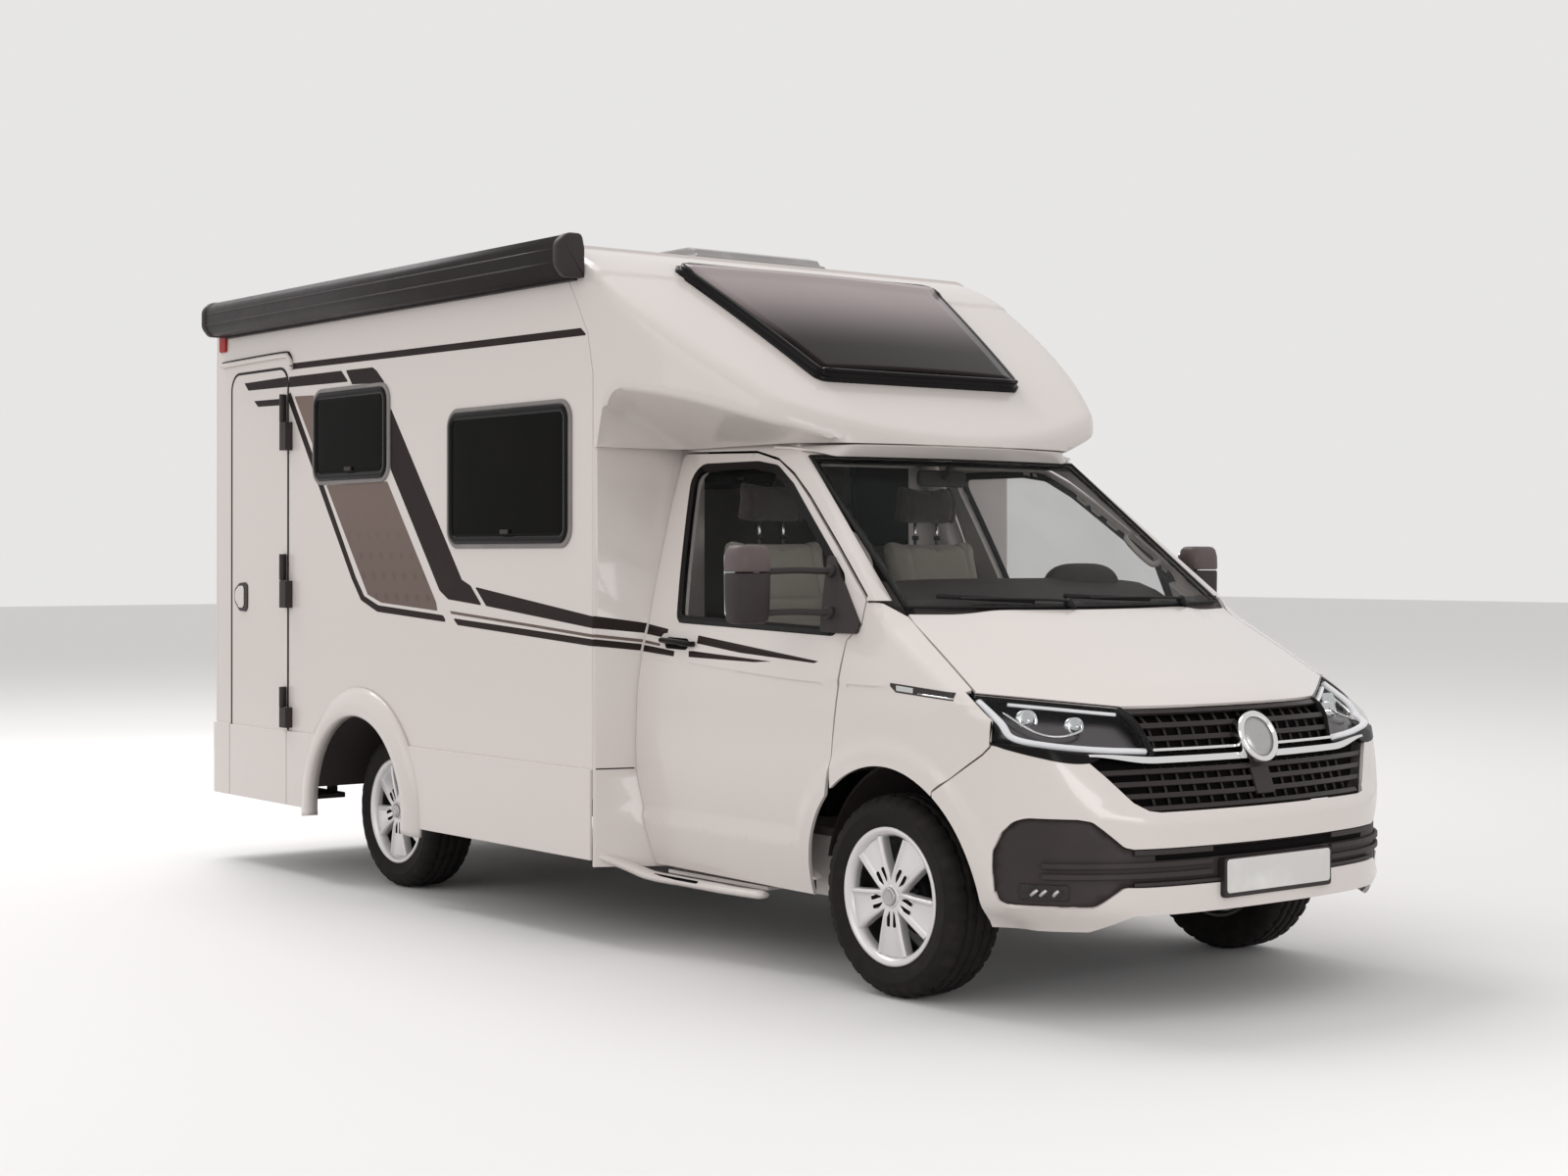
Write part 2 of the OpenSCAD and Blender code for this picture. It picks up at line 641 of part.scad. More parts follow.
// Side view of the rear pillar, its front edge moved forward by g from the door's edge
module pillar_rear(g) polygon([
  [wall_end, 300], [fa - 1402 + g, 300], [fa - 1468 + g, 660], [fa - 1455 + g, 995],
  [fa - 1432 + g, 1250], [fa - 1515 + g, cab_top], [wall_end, cab_top]
]);
// Room behind the door's leaning rear edge as it swings out
module door_sweep() along_y(540, hw + 20) polygon([
  [fa - 1440, 1250], [fa - 1462, 1400], [fa - 1493, 1600], [fa - 1519, 1750], [fa - 1549, cab_top + 20],
  [fa - 1300, cab_top + 20], [fa - 1300, 1250]
]);
// Transition panels from the living body to the cab, with the flange that the doors close on
module b_panels() color("#e6e1d9") both() difference() {
  union() {
    difference() {
      intersection() {
        along_y(540, hw) pillar_rear(-door_gap - 3);
        along_z(300, cab_top) polygon([
          [wall_end, 540], [wall_end + 200, 540], [wall_end + 200, ch - 40], [wall_end + 85, ch - 4],
          [wall_end + 60, ch + 8], [wall_end + 10, hw - 4], [wall_end, hw]
        ]);
      }
      difference() { door_sweep(); cab_form(edge_flange); }
    }
    intersection() {
      along_y(540, hw) pillar_rear(15);
      cab_form(edge_flange + seal);
    }
    box([wall_end - 45, 540, floor_top + 10], [wall_end - 25, hw - wall - 1, cab_top]);
    box([wall_end - 45, 540, floor_top + 10], [wall_end + 5, 800, cab_top]);
  }
  cab_form(door_thickness + panel, cab_top + 300);
}
module cab_floor() color("#3b3a39") difference() {
  union() {
    box([wall_end + 130, -810, cab_floor_z], [fa - 110, 810, cab_floor_z + 30]);
    box([fa - 130, -780, cab_floor_z], [fa - 110, 780, 1225]);
  }
  both() cyl_y(fa, front_inner - seal, 1200, tr, liner_out + seal);
}
module cab_sills() color("#e4dfd6") both() {
  box([wall_end + 150, 690, 278], [fa - 470, 780, cab_floor_z]);
  box([wall_end + 175, 770, 278], [fa - 735, 868, 292]);
}
module dashboard() color("#202022") {
  steering_column();
  along_y(-770, 770) polygon([
  [fa - 540, 1010], [fa - 515, 1120], [fa - 460, 1175], [fa - 300, 1215], [fa - 130, 1222], [fa - 130, 860],
  [fa - 360, 840], [fa - 470, 900]
]);
}

// Running gear
module chassis() color("#2f3032") {
  both() box([rear_x + 150, 330, 400], [fa + 760, 390, rail_top]);
  intersection() {
    box([fa + 740, -420, 440], [half, 420, 540]);
    cab_form(insert_back + seal);
  }
  for (x = [rear_x + 150, ra + 560, wall_end - 695, wall_end - 75]) {
    box([x, -980, wall_low - 60], [x + 60, 980, wall_low]);
    both() box([x, 330, 400], [x + 60, 390, wall_low]);
  }
  for (x = [fa - 1250, fa - 700, fa + 560]) box([x, -390, 420], [x + 60, 390, rail_top]);
}
module engine_block() color("#55585a") {
  box([fa + 90, -400, rail_top], [fa + 560, 400, 940]);
  box([fa + 625, -430, rail_top], [fa + 655, 430, 960]);
}
module tank_and_exhaust() color("#202122") {
  box([wall_end - 845, 420, 310], [wall_end - 95, 900, wall_low - 60]);
  translate([ra + 568, -520, wall_low - 120]) rotate([0, 90, 0]) cylinder(r = 60, h = 650);
  translate([ra + 368, -520, wall_low - 120]) rotate([0, 90, 0]) cylinder(r = 27, h = 1900);
}
module front_suspension() color("#3a3b3d") {
  box([fa - 90, -400, 330], [fa + 60, 400, 400]);
  both() {
    box([fa - 40, 380, 200], [fa + 40, pin_y + 16, 224]);
    box([fa - 40, 380, 200], [fa + 40, 400, 340]);
    cyl_z(fa, pin_y, 210, 262, 14);
  }
}
module knuckle(s) mirror([0, s > 0 ? 0 : 1, 0]) difference() {
  union() {
    cyl_y(fa, pin_y - 30, half_track + 30, tr, stub_r);
    box([fa - 45, pin_y - 30, 226], [fa + 45, pin_y + 30, tr + 60]);
  }
  cyl_z(fa, pin_y, 200, 264, 14 + run);
}
module knuckle_right() color("#4a4b4d") knuckle(-1);
module knuckle_left() color("#4a4b4d") knuckle(1);
module rear_suspension() color("#3a3b3d") {
  translate([ra + 300, -640, 370]) rotate([-90, 0, 0]) cylinder(r = 30, h = 1280);
  both() {
    along_y(560, 620) polygon([[ra + 340, 340], [ra + 340, 400], [ra - 40, 385], [ra - 40, 305]]);
    cyl_y(ra, 560, half_track + 30, tr, stub_r);
    box([ra + 270, 330, 340], [ra + 330, 390, 400]);
  }
}
module tyre(x, s) translate([x, s * half_track, tr]) rotate([90, 0, 0]) rotate_extrude($fn = 96) {
  w = tyre_w / 2; r0 = rim_d / 2 + seal;
  polygon([
    [r0, -w + 34], [r0 + 24, -w + 10], [tr - 62, -w], [tr - 26, -w + 7], [tr - 8, -w + 22], [tr, -w + 42],
    [tr, w - 42], [tr - 8, w - 22], [tr - 26, w - 7], [tr - 62, w], [r0 + 24, w - 10], [r0, w - 34]
  ]);
}
// Wide spoke as an outline in the wheel plane; one of them points straight down
module spoke() polygon([
  [-30, 40], [30, 40], [62, rim_d / 2 - 12], [-62, rim_d / 2 - 12]
]);
module rim(x, s) translate([x, s * half_track, tr]) rotate([s > 0 ? -90 : 90, 0, 0]) difference() {
  union() {
    rotate_extrude($fn = 96) polygon([
      [rim_d / 2 - 20, -100], [rim_d / 2, -100], [rim_d / 2, 97], [rim_d / 2 + 13, 97],
      [rim_d / 2 + 13, 105],
      [rim_d / 2 - 12, 105], [rim_d / 2 - 24, 60], [rim_d / 2 - 20, 40]
    ]);
    translate([0, 0, 44]) linear_extrude(38) intersection() {
      circle(rim_d / 2 - 4, $fn = 96);
      for (k = [0 : spokes - 1]) rotate((s > 0 ? 0 : 180) + k * 360 / spokes) spoke();
    }
    translate([0, 0, 0]) cylinder(r = 84, h = 70);
    translate([0, 0, 70]) cylinder(r = 34, h = 6);
    translate([0, 0, -66]) cylinder(r = 150, h = 22);
    translate([0, 0, -66]) cylinder(r = 70, h = 76);
  }
  translate([0, 0, -70]) cylinder(r = stub_r + run, h = 112);
  for (k = [0 : 4]) rotate((s > 0 ? 54 : 18) + k * 72) translate([bolt_circle / 2, 0, 40])
    cylinder(r = 13, h = 60);
}
module tyre_front_right() color("#161617") tyre(fa, -1);
module tyre_front_left() color("#161617") tyre(fa, 1);
module tyre_rear_right() color("#161617") tyre(ra, -1);
module tyre_rear_left() color("#161617") tyre(ra, 1);
module rim_front_right() color("#c3c5c8") rim(fa, -1);
module rim_front_left() color("#c3c5c8") rim(fa, 1);
module rim_rear_right() color("#c3c5c8") rim(ra, -1);
module rim_rear_left() color("#c3c5c8") rim(ra, 1);

// Cab interior
module seat_pedestals() color("#2b2b2c") both()
  box([fa - 1120, seat_offset - 190, cab_floor_z + 30], [fa - 720, seat_offset + 190, 690]);
module seats() color("#8d867c") both() {
  along_y(seat_offset - seat_width / 2, seat_offset + seat_width / 2) polygon([
    [fa - 1160, 690 + seal], [fa - 660, 690 + seal], [fa - 650, 790], [fa - 680, 835], [fa - 1130, 815]
  ]);
  along_y(seat_offset - seat_width / 2 + 10, seat_offset + seat_width / 2 - 10) polygon([
    [fa - 1170, 817], [fa - 1130, 815 + seal], [fa - 1010, 822 + seal], [fa - 1235, 1550],
    [fa - 1270, 1580], [fa - 1325, 1570], [fa - 1340, 1530]
  ]);
}
module headrests() color("#2a2828") both() {
  along_y(seat_offset - 160, seat_offset + 160) polygon([
    [fa - 1258, 1615], [fa - 1250, 1725], [fa - 1280, 1800], [fa - 1335, 1800], [fa - 1350, 1628]
  ]);
  for (d = [-60, 60]) cyl_z(fa - 1300, seat_offset + d, 1576, 1640, 7);
}
column_x = fa - 640;
column_z = 1090;
module on_column() translate([column_x, seat_offset, column_z]) rotate([0, 118, 0]) children();
module steering_column() on_column() {
  translate([0, 0, 30]) cylinder(r = 42, h = 130);
  translate([0, 0, -20]) cylinder(r = 12, h = 60);
}
module steering_wheel() color("#1c1c1d") on_column() difference() {
  union() {
    rotate_extrude() translate([wheel_d / 2 - 16, 0]) circle(16);
    translate([0, 0, -22]) cylinder(r = 70, h = 46);
    for (a = [90, 210, 330]) rotate(a) translate([50, -22, -8]) cube([wheel_d / 2 - 66, 44, 16]);
  }
  translate([0, 0, -21]) cylinder(r = 12 + run, h = 80);
}

chassis();
body_floor();
cab_floor();
engine_block();
tank_and_exhaust();
front_suspension();
rear_suspension();
wheel_liners();
side_wall_right();
side_wall_left();
rear_wall();
roof_panel();
nose_hood();
roof_hatch();
window_frames();
window_panes();
skirts();
arch_flares();
rear_lamps();
awning();
entry_hinges();
windscreen_frame();
windscreen();
cowl();
front_wings();
front_bumper();
bumper_insert();
grille();
headlamps();
lamp_lenses();
b_panels();
cab_sills();
dashboard();
seat_pedestals();
seats();
headrests();
bonnet();
cab_door_right();
door_glass_right();
mirror_right();
cab_door_left();
door_glass_left();
mirror_left();
entry_door();
knuckle_right();
knuckle_left();
tyre_front_right();
tyre_front_left();
tyre_rear_right();
tyre_rear_left();
rim_front_right();
rim_front_left();
rim_rear_right();
rim_rear_left();
steering_wheel();
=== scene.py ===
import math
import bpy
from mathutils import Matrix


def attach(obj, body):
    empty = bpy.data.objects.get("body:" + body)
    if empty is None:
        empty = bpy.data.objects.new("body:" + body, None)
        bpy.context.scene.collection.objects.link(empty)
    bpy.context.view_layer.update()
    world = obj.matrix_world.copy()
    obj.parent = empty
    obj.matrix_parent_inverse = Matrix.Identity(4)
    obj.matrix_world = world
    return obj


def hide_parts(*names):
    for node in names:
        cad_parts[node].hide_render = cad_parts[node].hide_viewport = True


bl_info = {
    "name": "Camper van looks",
    "version": (1, 0, 0),
    "blender": (4, 5, 0),
    "location": "View3D > Sidebar > Camper",
    "description": "Dresses the packed camper van with panels, glass, wheels, trim and upholstery",
    "category": "Object",
}

import bmesh
import bpy
import numpy as np
from mathutils import Vector
from mathutils.geometry import delaunay_2d_cdt

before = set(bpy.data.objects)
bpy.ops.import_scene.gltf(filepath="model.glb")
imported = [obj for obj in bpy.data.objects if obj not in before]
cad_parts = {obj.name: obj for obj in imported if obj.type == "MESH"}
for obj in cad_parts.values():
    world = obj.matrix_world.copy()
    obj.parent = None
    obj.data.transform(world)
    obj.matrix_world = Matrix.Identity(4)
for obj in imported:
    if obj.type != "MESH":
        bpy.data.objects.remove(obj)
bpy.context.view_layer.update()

# Main sizes of the vehicle in metres, as in the part's source
FRONT_AXLE, REAR_AXLE = 2.032, -1.368
HALF, HALF_WIDTH, CAB_HALF = 2.940, 1.100, 0.955
ROOF, CAB_TOP, WALL_END, REAR_END = 2.735, 1.925, 0.495, -2.928
TYRE_R, HALF_TRACK = 0.345, 0.815
ENTRY_FRONT, ENTRY_REAR, ENTRY_TOP = -2.085, -2.695, 2.388
SIDES = ((-1, "right"), (1, "left"))


def colour(title, words, value):
    return bpy.props.FloatVectorProperty(
        name=title, description=words, subtype="COLOR", size=3, min=0, max=1, default=value
    )


def length(title, words, value):
    return bpy.props.FloatProperty(name=title, description=words, unit="LENGTH", min=0, default=value)


class Finish(bpy.types.PropertyGroup):
    """Colours of the main finishes."""

    paint: colour("Paint", "Warm off-white of cab and living body", (0.70, 0.645, 0.615))
    stripe: colour("Stripe", "Brown-black film of the side bands", (0.020, 0.013, 0.012))
    taupe: colour("Taupe", "Grey-brown film of the side panel", (0.148, 0.107, 0.092))
    plastic: colour("Plastic", "Grained plastic of bumper, mirrors and liners", (0.034, 0.026, 0.026))
    awning: colour("Awning", "Anthracite coat of the awning case", (0.026, 0.022, 0.0225))
    seat: colour("Seat", "Grey-beige seat cloth", (0.46, 0.42, 0.36))
    headrest: colour("Headrest", "Dark headrest cloth", (0.075, 0.060, 0.056))
    alloy: colour("Alloy", "Silver lacquer of the wheels", (0.76, 0.74, 0.74))


class Trim(bpy.types.PropertyGroup):
    """Sizes of the scene's own detail."""

    edge: length("Panel edge", "Radius along the panels' shut lines", 0.0035)
    skin: length("Panel skin", "Thickness of the cab panels", 0.014)
    mesh: length("Panel mesh", "Distance of the points on curved panels", 0.026)
    film: length("Film", "Thickness of the side bands", 0.0007)
    tread: length("Tread", "Depth of the tyre tread", 0.008)


class Link:
    """A socket of a shader tree: sums and products of links add Math nodes."""

    def __init__(self, shade, socket):
        self.shade, self.socket = shade, socket

    def calc(self, operation, first, second):
        return self.shade.node("ShaderNodeMath", {"operation": operation}, {0: first, 1: second})

    def __add__(self, other):
        return self.calc("ADD", self, other)

    def __sub__(self, other):
        return self.calc("SUBTRACT", self, other)

    def __rsub__(self, other):
        return self.calc("SUBTRACT", other, self)

    def __mul__(self, other):
        return self.calc("MULTIPLY", self, other)

    __radd__, __rmul__ = __add__, __mul__


class Shade:
    """A material under construction around one Principled shader."""

    SOCKETS = {
        "colour": "Base Color", "coat": "Coat Weight", "coat_rough": "Coat Roughness",
        "spec": "Specular IOR Level", "sheen": "Sheen Weight", "ior": "IOR",
        "glow": "Emission Color", "glow_power": "Emission Strength",
    }

    def __init__(self, name):
        self.material = bpy.data.materials.new(name)
        self.material.use_nodes = True
        self.tree = self.material.node_tree
        self.tree.nodes.clear()
        surface = self.node("ShaderNodeBsdfPrincipled")
        self.shader = surface.socket.node
        self.node("ShaderNodeOutputMaterial", None, {"Surface": surface})

    def feed(self, node, inputs):
        for key, value in inputs.items():
            if isinstance(value, Link):
                self.tree.links.new(value.socket, node.inputs[key])
            else:
                node.inputs[key].default_value = value

    def node(self, kind, settings=None, inputs=None, out=0):
        """The one way to a node: its type, its settings, its inputs and the output that is used."""
        made = self.tree.nodes.new(kind)
        for key, value in (settings or {}).items():
            setattr(made, key, value)
        self.feed(made, inputs or {})
        return Link(self, made.outputs[out]) if made.outputs else None

    def place(self):
        return self.node("ShaderNodeTexCoord", out="Object")

    def axes(self):
        where = self.place()
        return [self.node("ShaderNodeSeparateXYZ", None, {0: where}, k) for k in range(3)]

    def function(self, operation, value):
        return self.node("ShaderNodeMath", {"operation": operation}, {0: value})

    def noise(self, scale, detail=3.0):
        inputs = {"Vector": self.place(), "Scale": scale, "Detail": detail}
        return self.node("ShaderNodeTexNoise", None, inputs, "Fac")

    def ramp(self, value, low, high):
        """A smooth step from zero at low to one at high."""
        inputs = {"Value": value, "From Min": low, "From Max": high, "To Min": 0.0, "To Max": 1.0}
        return self.node("ShaderNodeMapRange", {"interpolation_type": "SMOOTHSTEP"}, inputs)

    def tint(self, base, amount, other):
        """The base colour, moved towards another where amount is one."""
        first = base if isinstance(base, Link) else (*base, 1)
        inputs = {"Factor": amount, "A": first, "B": (*other, 1)}
        return self.node("ShaderNodeMix", {"data_type": "RGBA"}, inputs, "Result")

    def bump(self, height, strength, distance):
        inputs = {"Height": height, "Strength": strength, "Distance": distance}
        return self.node("ShaderNodeBump", None, inputs)

    def finish(self, **sockets):
        inputs = {}
        for key, value in sockets.items():
            if key in ("colour", "glow") and not isinstance(value, Link):
                value = (*value, 1)
            inputs[self.SOCKETS.get(key, key.capitalize())] = value
        self.feed(self.shader, inputs)
        return self.material


FINISHES = {}


def scaled(base, factor):
    return tuple(min(1.0, c * factor) for c in base)


def lacquer(name, base, rough=0.22, coat=0.6):
    """Gloss paint with faint mottling, orange peel and road dust low down."""
    s = Shade(name)
    cloud = s.noise(2.3, 4)
    dust = s.ramp(s.axes()[2], 0.75, 0.25) * s.noise(9.0, 5)
    mottled = s.tint(base, cloud * 0.16, scaled(base, 0.93))
    return s.finish(
        colour=s.tint(mottled, dust * 0.05, scaled(base, 0.5)), roughness=rough + 0.05 * s.noise(14.0, 4),
        coat=coat, coat_rough=0.06, normal=s.bump(s.noise(420.0, 2), 0.045, 0.0006),
    )


def grained(name, base, rough=0.52, grain=900.0, depth=0.35, coat=0.0, spec=0.3):
    """Moulded plastic with a fine grain, a little lighter on the rubbed spots."""
    s = Shade(name)
    wear = s.ramp(s.noise(5.0, 4), 0.45, 0.75)
    return s.finish(
        colour=s.tint(base, wear * 0.45, scaled(base, 1.55)), roughness=rough + 0.10 * s.noise(30.0, 3),
        coat=coat, spec=spec, normal=s.bump(s.noise(grain, 2), depth, 0.0005),
    )


def clear(name, base, alpha, rough=0.02):
    """Thin glass or acrylic: see-through with a smooth gloss and a touch of dust."""
    s = Shade(name)
    haze = s.ramp(s.noise(3.0, 4), 0.35, 0.8)
    return s.finish(
        colour=s.tint(base, haze * 0.25, scaled(base, 1.6)), roughness=rough + 0.02 * haze,
        alpha=alpha + 0.03 * haze, spec=0.18, ior=1.5,
    )


def bright(name, base, rough, metallic=1.0):
    """Polished or lacquered metal with faint cloudiness."""
    s = Shade(name)
    cloud = s.noise(26.0, 4)
    return s.finish(
        colour=s.tint(base, cloud * 0.25, scaled(base, 0.82)), metallic=metallic,
        roughness=rough + 0.10 * cloud, normal=s.bump(cloud, 0.05, 0.0004),
    )


def lit(name, base, power):
    """Milky light guide of a lamp, glowing a little, with a fine ripple."""
    s = Shade(name)
    ripple = s.noise(120.0, 2)
    return s.finish(
        colour=s.tint(base, ripple * 0.2, scaled(base, 0.8)), roughness=0.20 + 0.05 * ripple,
        glow=base, glow_power=power,
    )


def woven(name, base, pitch=0.0032):
    """Seat cloth: two crossed thread waves with a mottled yarn colour."""
    s = Shade(name)
    x, y, z = s.axes()
    turn = 2 * math.pi / pitch
    thread = s.function("SINE", y * turn) * s.function("SINE", (z + x) * turn) * 0.5 + 0.5
    yarn = s.noise(160.0, 3)
    shaded = s.tint(base, thread * 0.5, scaled(base, 0.62))
    return s.finish(
        colour=s.tint(shaded, yarn * 0.4, scaled(base, 1.3)), roughness=0.86 + 0.08 * yarn,
        sheen=0.25, normal=s.bump(thread, 0.5, 0.0012),
    )


def dotted_film(name, base):
    """Grey-brown film with a faint print of soft dots, fading out upwards."""
    s = Shade(name)
    x, y, z = s.axes()

    def from_cell(v):
        f = s.function("FRACT", v) - 0.5
        return f * f

    r = s.function("SQRT", from_cell(x * 11.0 + z * 3.0) + from_cell(z * 11.0))
    dots = s.ramp(r, 0.24, 0.15) * s.ramp(z, 1.85, 1.35)
    printed = s.tint(base, dots * 0.35, scaled(base, 0.55))
    return s.finish(
        colour=s.tint(printed, s.ramp(z, 1.2, 2.2) * 0.6, scaled(base, 1.5)),
        roughness=0.40 + 0.05 * s.noise(40.0, 3), spec=0.15,
    )


def painted_light_acrylic(name, dark, pale, low, high):
    """Smoked acrylic with painted light: its colour pales upwards, standing in for the light behind it."""
    s = Shade(name)
    rise = s.ramp(s.axes()[2], low, high) * (0.9 + 0.1 * s.noise(3.0, 3))
    return s.finish(colour=s.tint(dark, rise, pale), roughness=0.08 + 0.03 * s.noise(6.0, 3), spec=0.08)


def rubber(name):
    """Tyre rubber: dark, dusty in the low spots, finely rough."""
    s = Shade(name)
    dust = s.ramp(s.noise(18.0, 5), 0.4, 0.8)
    return s.finish(
        colour=s.tint((0.012, 0.0105, 0.010), dust * 0.5, (0.036, 0.031, 0.028)),
        roughness=0.78 + 0.12 * dust, spec=0.2, normal=s.bump(s.noise(700.0, 2), 0.3, 0.0006),
    )


def make_finishes(look):
    plastic, paint = tuple(look.plastic), tuple(look.paint)
    FINISHES.update({
        "paint": lacquer("body_lacquer", paint),
        "gelcoat": lacquer("gelcoat", scaled(paint, 0.985), 0.27, 0.35),
        "stripe": grained("stripe_film", tuple(look.stripe), 0.42, 60.0, 0.03, 0.0, 0.1),
        "taupe": dotted_film("taupe_film", tuple(look.taupe)),
        "plastic": grained("grained_plastic", plastic),
        "smooth_plastic": grained("smooth_dark_plastic", scaled(plastic, 0.75), 0.32, 300.0, 0.06),
        "gloss_black": grained("gloss_black", (0.006, 0.005, 0.005), 0.14, 90.0, 0.015, 0.0, 0.12),
        # Near-black painted shade: stands for the shade inside openings and recesses such as the grille back,
        # slots and handle cups
        "void": grained("painted_recess_shade", (0.005, 0.004, 0.004), 0.9, spec=0.1),
        "grey_rim": grained("grey_window_rim", (0.21, 0.195, 0.19), 0.42, 500.0, 0.12),
        "hatch": grained("grey_hatch", (0.30, 0.29, 0.285), 0.36, 200.0, 0.08, 0.2),
        "tinted": grained("tinted_acrylic", (0.0040, 0.0036, 0.0032), 0.06, 4.0, 0.01, 0.0, 0.03),
        # The skylight finish pales upwards: painted light behind the acrylic
        "skylight": painted_light_acrylic("skylight_acrylic", (0.012, 0.008, 0.0075), (0.36, 0.305, 0.305), 2.31, 2.63),
        "glass": clear("cab_glass", (0.024, 0.029, 0.027), 0.13),
        "lens": clear("lamp_lens", (0.05, 0.052, 0.055), 0.07),
        "chrome": bright("chrome", (0.80, 0.80, 0.80), 0.06),
        "satin": bright("satin_metal", (0.48, 0.47, 0.47), 0.28),
        "alloy": bright("wheel_silver", tuple(look.alloy), 0.30, 0.55),
        "disc": bright("brake_steel", (0.16, 0.155, 0.15), 0.38),
        "awning": grained("awning_coat", tuple(look.awning), 0.42, 200.0, 0.04, 0.0, 0.15),
        "steel": grained("chassis_coat", (0.020, 0.020, 0.021), 0.55, 120.0, 0.2),
        "engine": grained("cast_metal", (0.13, 0.13, 0.13), 0.6, 200.0, 0.3),
        "rubber": rubber("tyre_rubber"),
        "seal": grained("rubber_seal", (0.010, 0.0095, 0.0095), 0.62, 400.0, 0.1),
        "cloth": woven("seat_cloth", tuple(look.seat)),
        "dark_cloth": woven("headrest_cloth", tuple(look.headrest)),
        "board": grained("floor_board", (0.075, 0.066, 0.058), 0.7, 60.0, 0.2),
        "lining": grained("light_lining", (0.42, 0.39, 0.36), 0.8, 260.0, 0.25),
        "red": clear("red_lens", (0.34, 0.012, 0.010), 0.92, 0.06),
        "amber": clear("amber_lens", (0.60, 0.17, 0.01), 0.92, 0.06),
        "white_lamp": clear("white_lens", (0.62, 0.63, 0.64), 0.90, 0.05),
        "plate": grained("blank_plate", (0.66, 0.65, 0.63), 0.35, 50.0, 0.03, 0.2),
        "reflector": bright("lamp_reflector", (0.15, 0.14, 0.145), 0.24),
        "lamp_light": lit("lamp_light", (0.72, 0.72, 0.74), 0.35),
        "mirror": bright("mirror_glass", (0.72, 0.74, 0.75), 0.02),
        "mirror_cap": grained("mirror_cap", scaled(plastic, 3.4), 0.40, 500.0, 0.15),
    })


# Pieces
def linked(name, data):
    """A new object in the scene."""
    made = bpy.data.objects.new(name, data)
    bpy.context.scene.collection.objects.link(made)
    return made


def add(name, form, finish, body="van_body", **look):
    """A piece in the vehicle's frame, from its (verts, faces)."""
    verts, faces = form
    mesh = bpy.data.meshes.new(name)
    mesh.from_pydata([tuple(map(float, v)) for v in verts], [], [list(map(int, f)) for f in faces])
    mesh.validate()
    mesh.materials.append(FINISHES[finish])
    return dress(linked(name, mesh), body, **look)


def dress(made, body, smooth=True, solid=0.0, edge=0.0, sub=0, nodes=(), angle=38):
    """Gives a piece its thickness and soft edges, its body and the CAD nodes that it stands for."""
    for face in made.data.polygons:
        face.use_smooth = smooth
    if solid:
        shell = made.modifiers.new("shell", "SOLIDIFY")
        shell.thickness, shell.offset, shell.use_even_offset = solid, -1, False
    if edge:
        round_off = made.modifiers.new("edges", "BEVEL")
        round_off.width, round_off.segments = edge, 2
        round_off.limit_method, round_off.angle_limit = "ANGLE", math.radians(angle)
        round_off.harden_normals = smooth
    if sub:
        fine = made.modifiers.new("fine", "SUBSURF")
        fine.levels = fine.render_levels = sub
    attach(made, body)
    if nodes:
        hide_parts(*nodes)
    return made


def slab(name, ring, axis, low, high, finish, body="van_body", **look):
    """A flat-faced piece: an outline pushed along an axis."""
    return add(name, prism(ring, axis, low, high), finish, body, smooth=False, **look)


def once(s, node):
    """A node that holds both sides is replaced by the piece of the right side."""
    return (node,) if s < 0 else ()


# Mesh kit: forms are (verts, faces)
BOTH, END = (True, True), (False, True)


def unit(v):
    v = np.asarray(v, float)
    return v / np.linalg.norm(v)


def merge(parts):
    """Several forms as one."""
    verts, faces, start = [], [], 0
    for v, f in parts:
        verts.append(np.asarray(v, float).reshape(-1, 3))
        faces += [[i + start for i in face] for face in f]
        start += len(verts[-1])
    return np.concatenate(verts), faces


def flipped(form, turn=True):
    """A form with its faces turned round."""
    verts, faces = form
    return verts, [f[::-1] for f in faces] if turn else faces


def loft(rings, closed=True, caps=(False, False)):
    """Quads between rings of equally many points."""
    rings = [np.asarray(r, float) for r in rings]
    n, faces = len(rings[0]), []
    for k in range(len(rings) - 1):
        for i in range(n if closed else n - 1):
            j = (i + 1) % n
            faces.append((k * n + i, k * n + j, (k + 1) * n + j, (k + 1) * n + i))
    if caps[0]:
        faces.append(tuple(range(n))[::-1])
    if caps[1]:
        faces.append(tuple(range((len(rings) - 1) * n, len(rings) * n)))
    return np.concatenate(rings), faces


def bar(points, radius, sides=10, flat=1.0):
    """A tube along points; flat squeezes it in height."""
    pts = np.asarray(points, float)
    radii = np.broadcast_to(radius, (len(pts),))
    t = np.linspace(0, 2 * np.pi, sides, endpoint=False)[:, None]
    rings = []
    for k, p in enumerate(pts):
        along = unit(pts[min(k + 1, len(pts) - 1)] - pts[max(k - 1, 0)])
        side = np.cross(along, (0, 0, 1))
        side = unit(side) if np.linalg.norm(side) > 1e-3 else np.array([1.0, 0, 0])
        top = np.cross(side, along)
        rings.append(p + radii[k] * (np.cos(t) * side + flat * np.sin(t) * top))
    return loft(rings, True, BOTH)


def smooth_path(points, steps=6):
    """A Catmull-Rom curve through points."""
    p = np.asarray(points, float)
    p = np.vstack([2 * p[0] - p[1], p, 2 * p[-1] - p[-2]])
    out = []
    for k in range(1, len(p) - 2):
        a, b, c, d = p[k - 1 : k + 3]
        for t in np.linspace(0, 1, steps, endpoint=False):
            out.append(0.5 * (2 * b + (c - a) * t + (2 * a - 5 * b + 4 * c - d) * t**2
                              + (3 * b - a - 3 * c + d) * t**3))
    return np.array(out + [p[-2]])


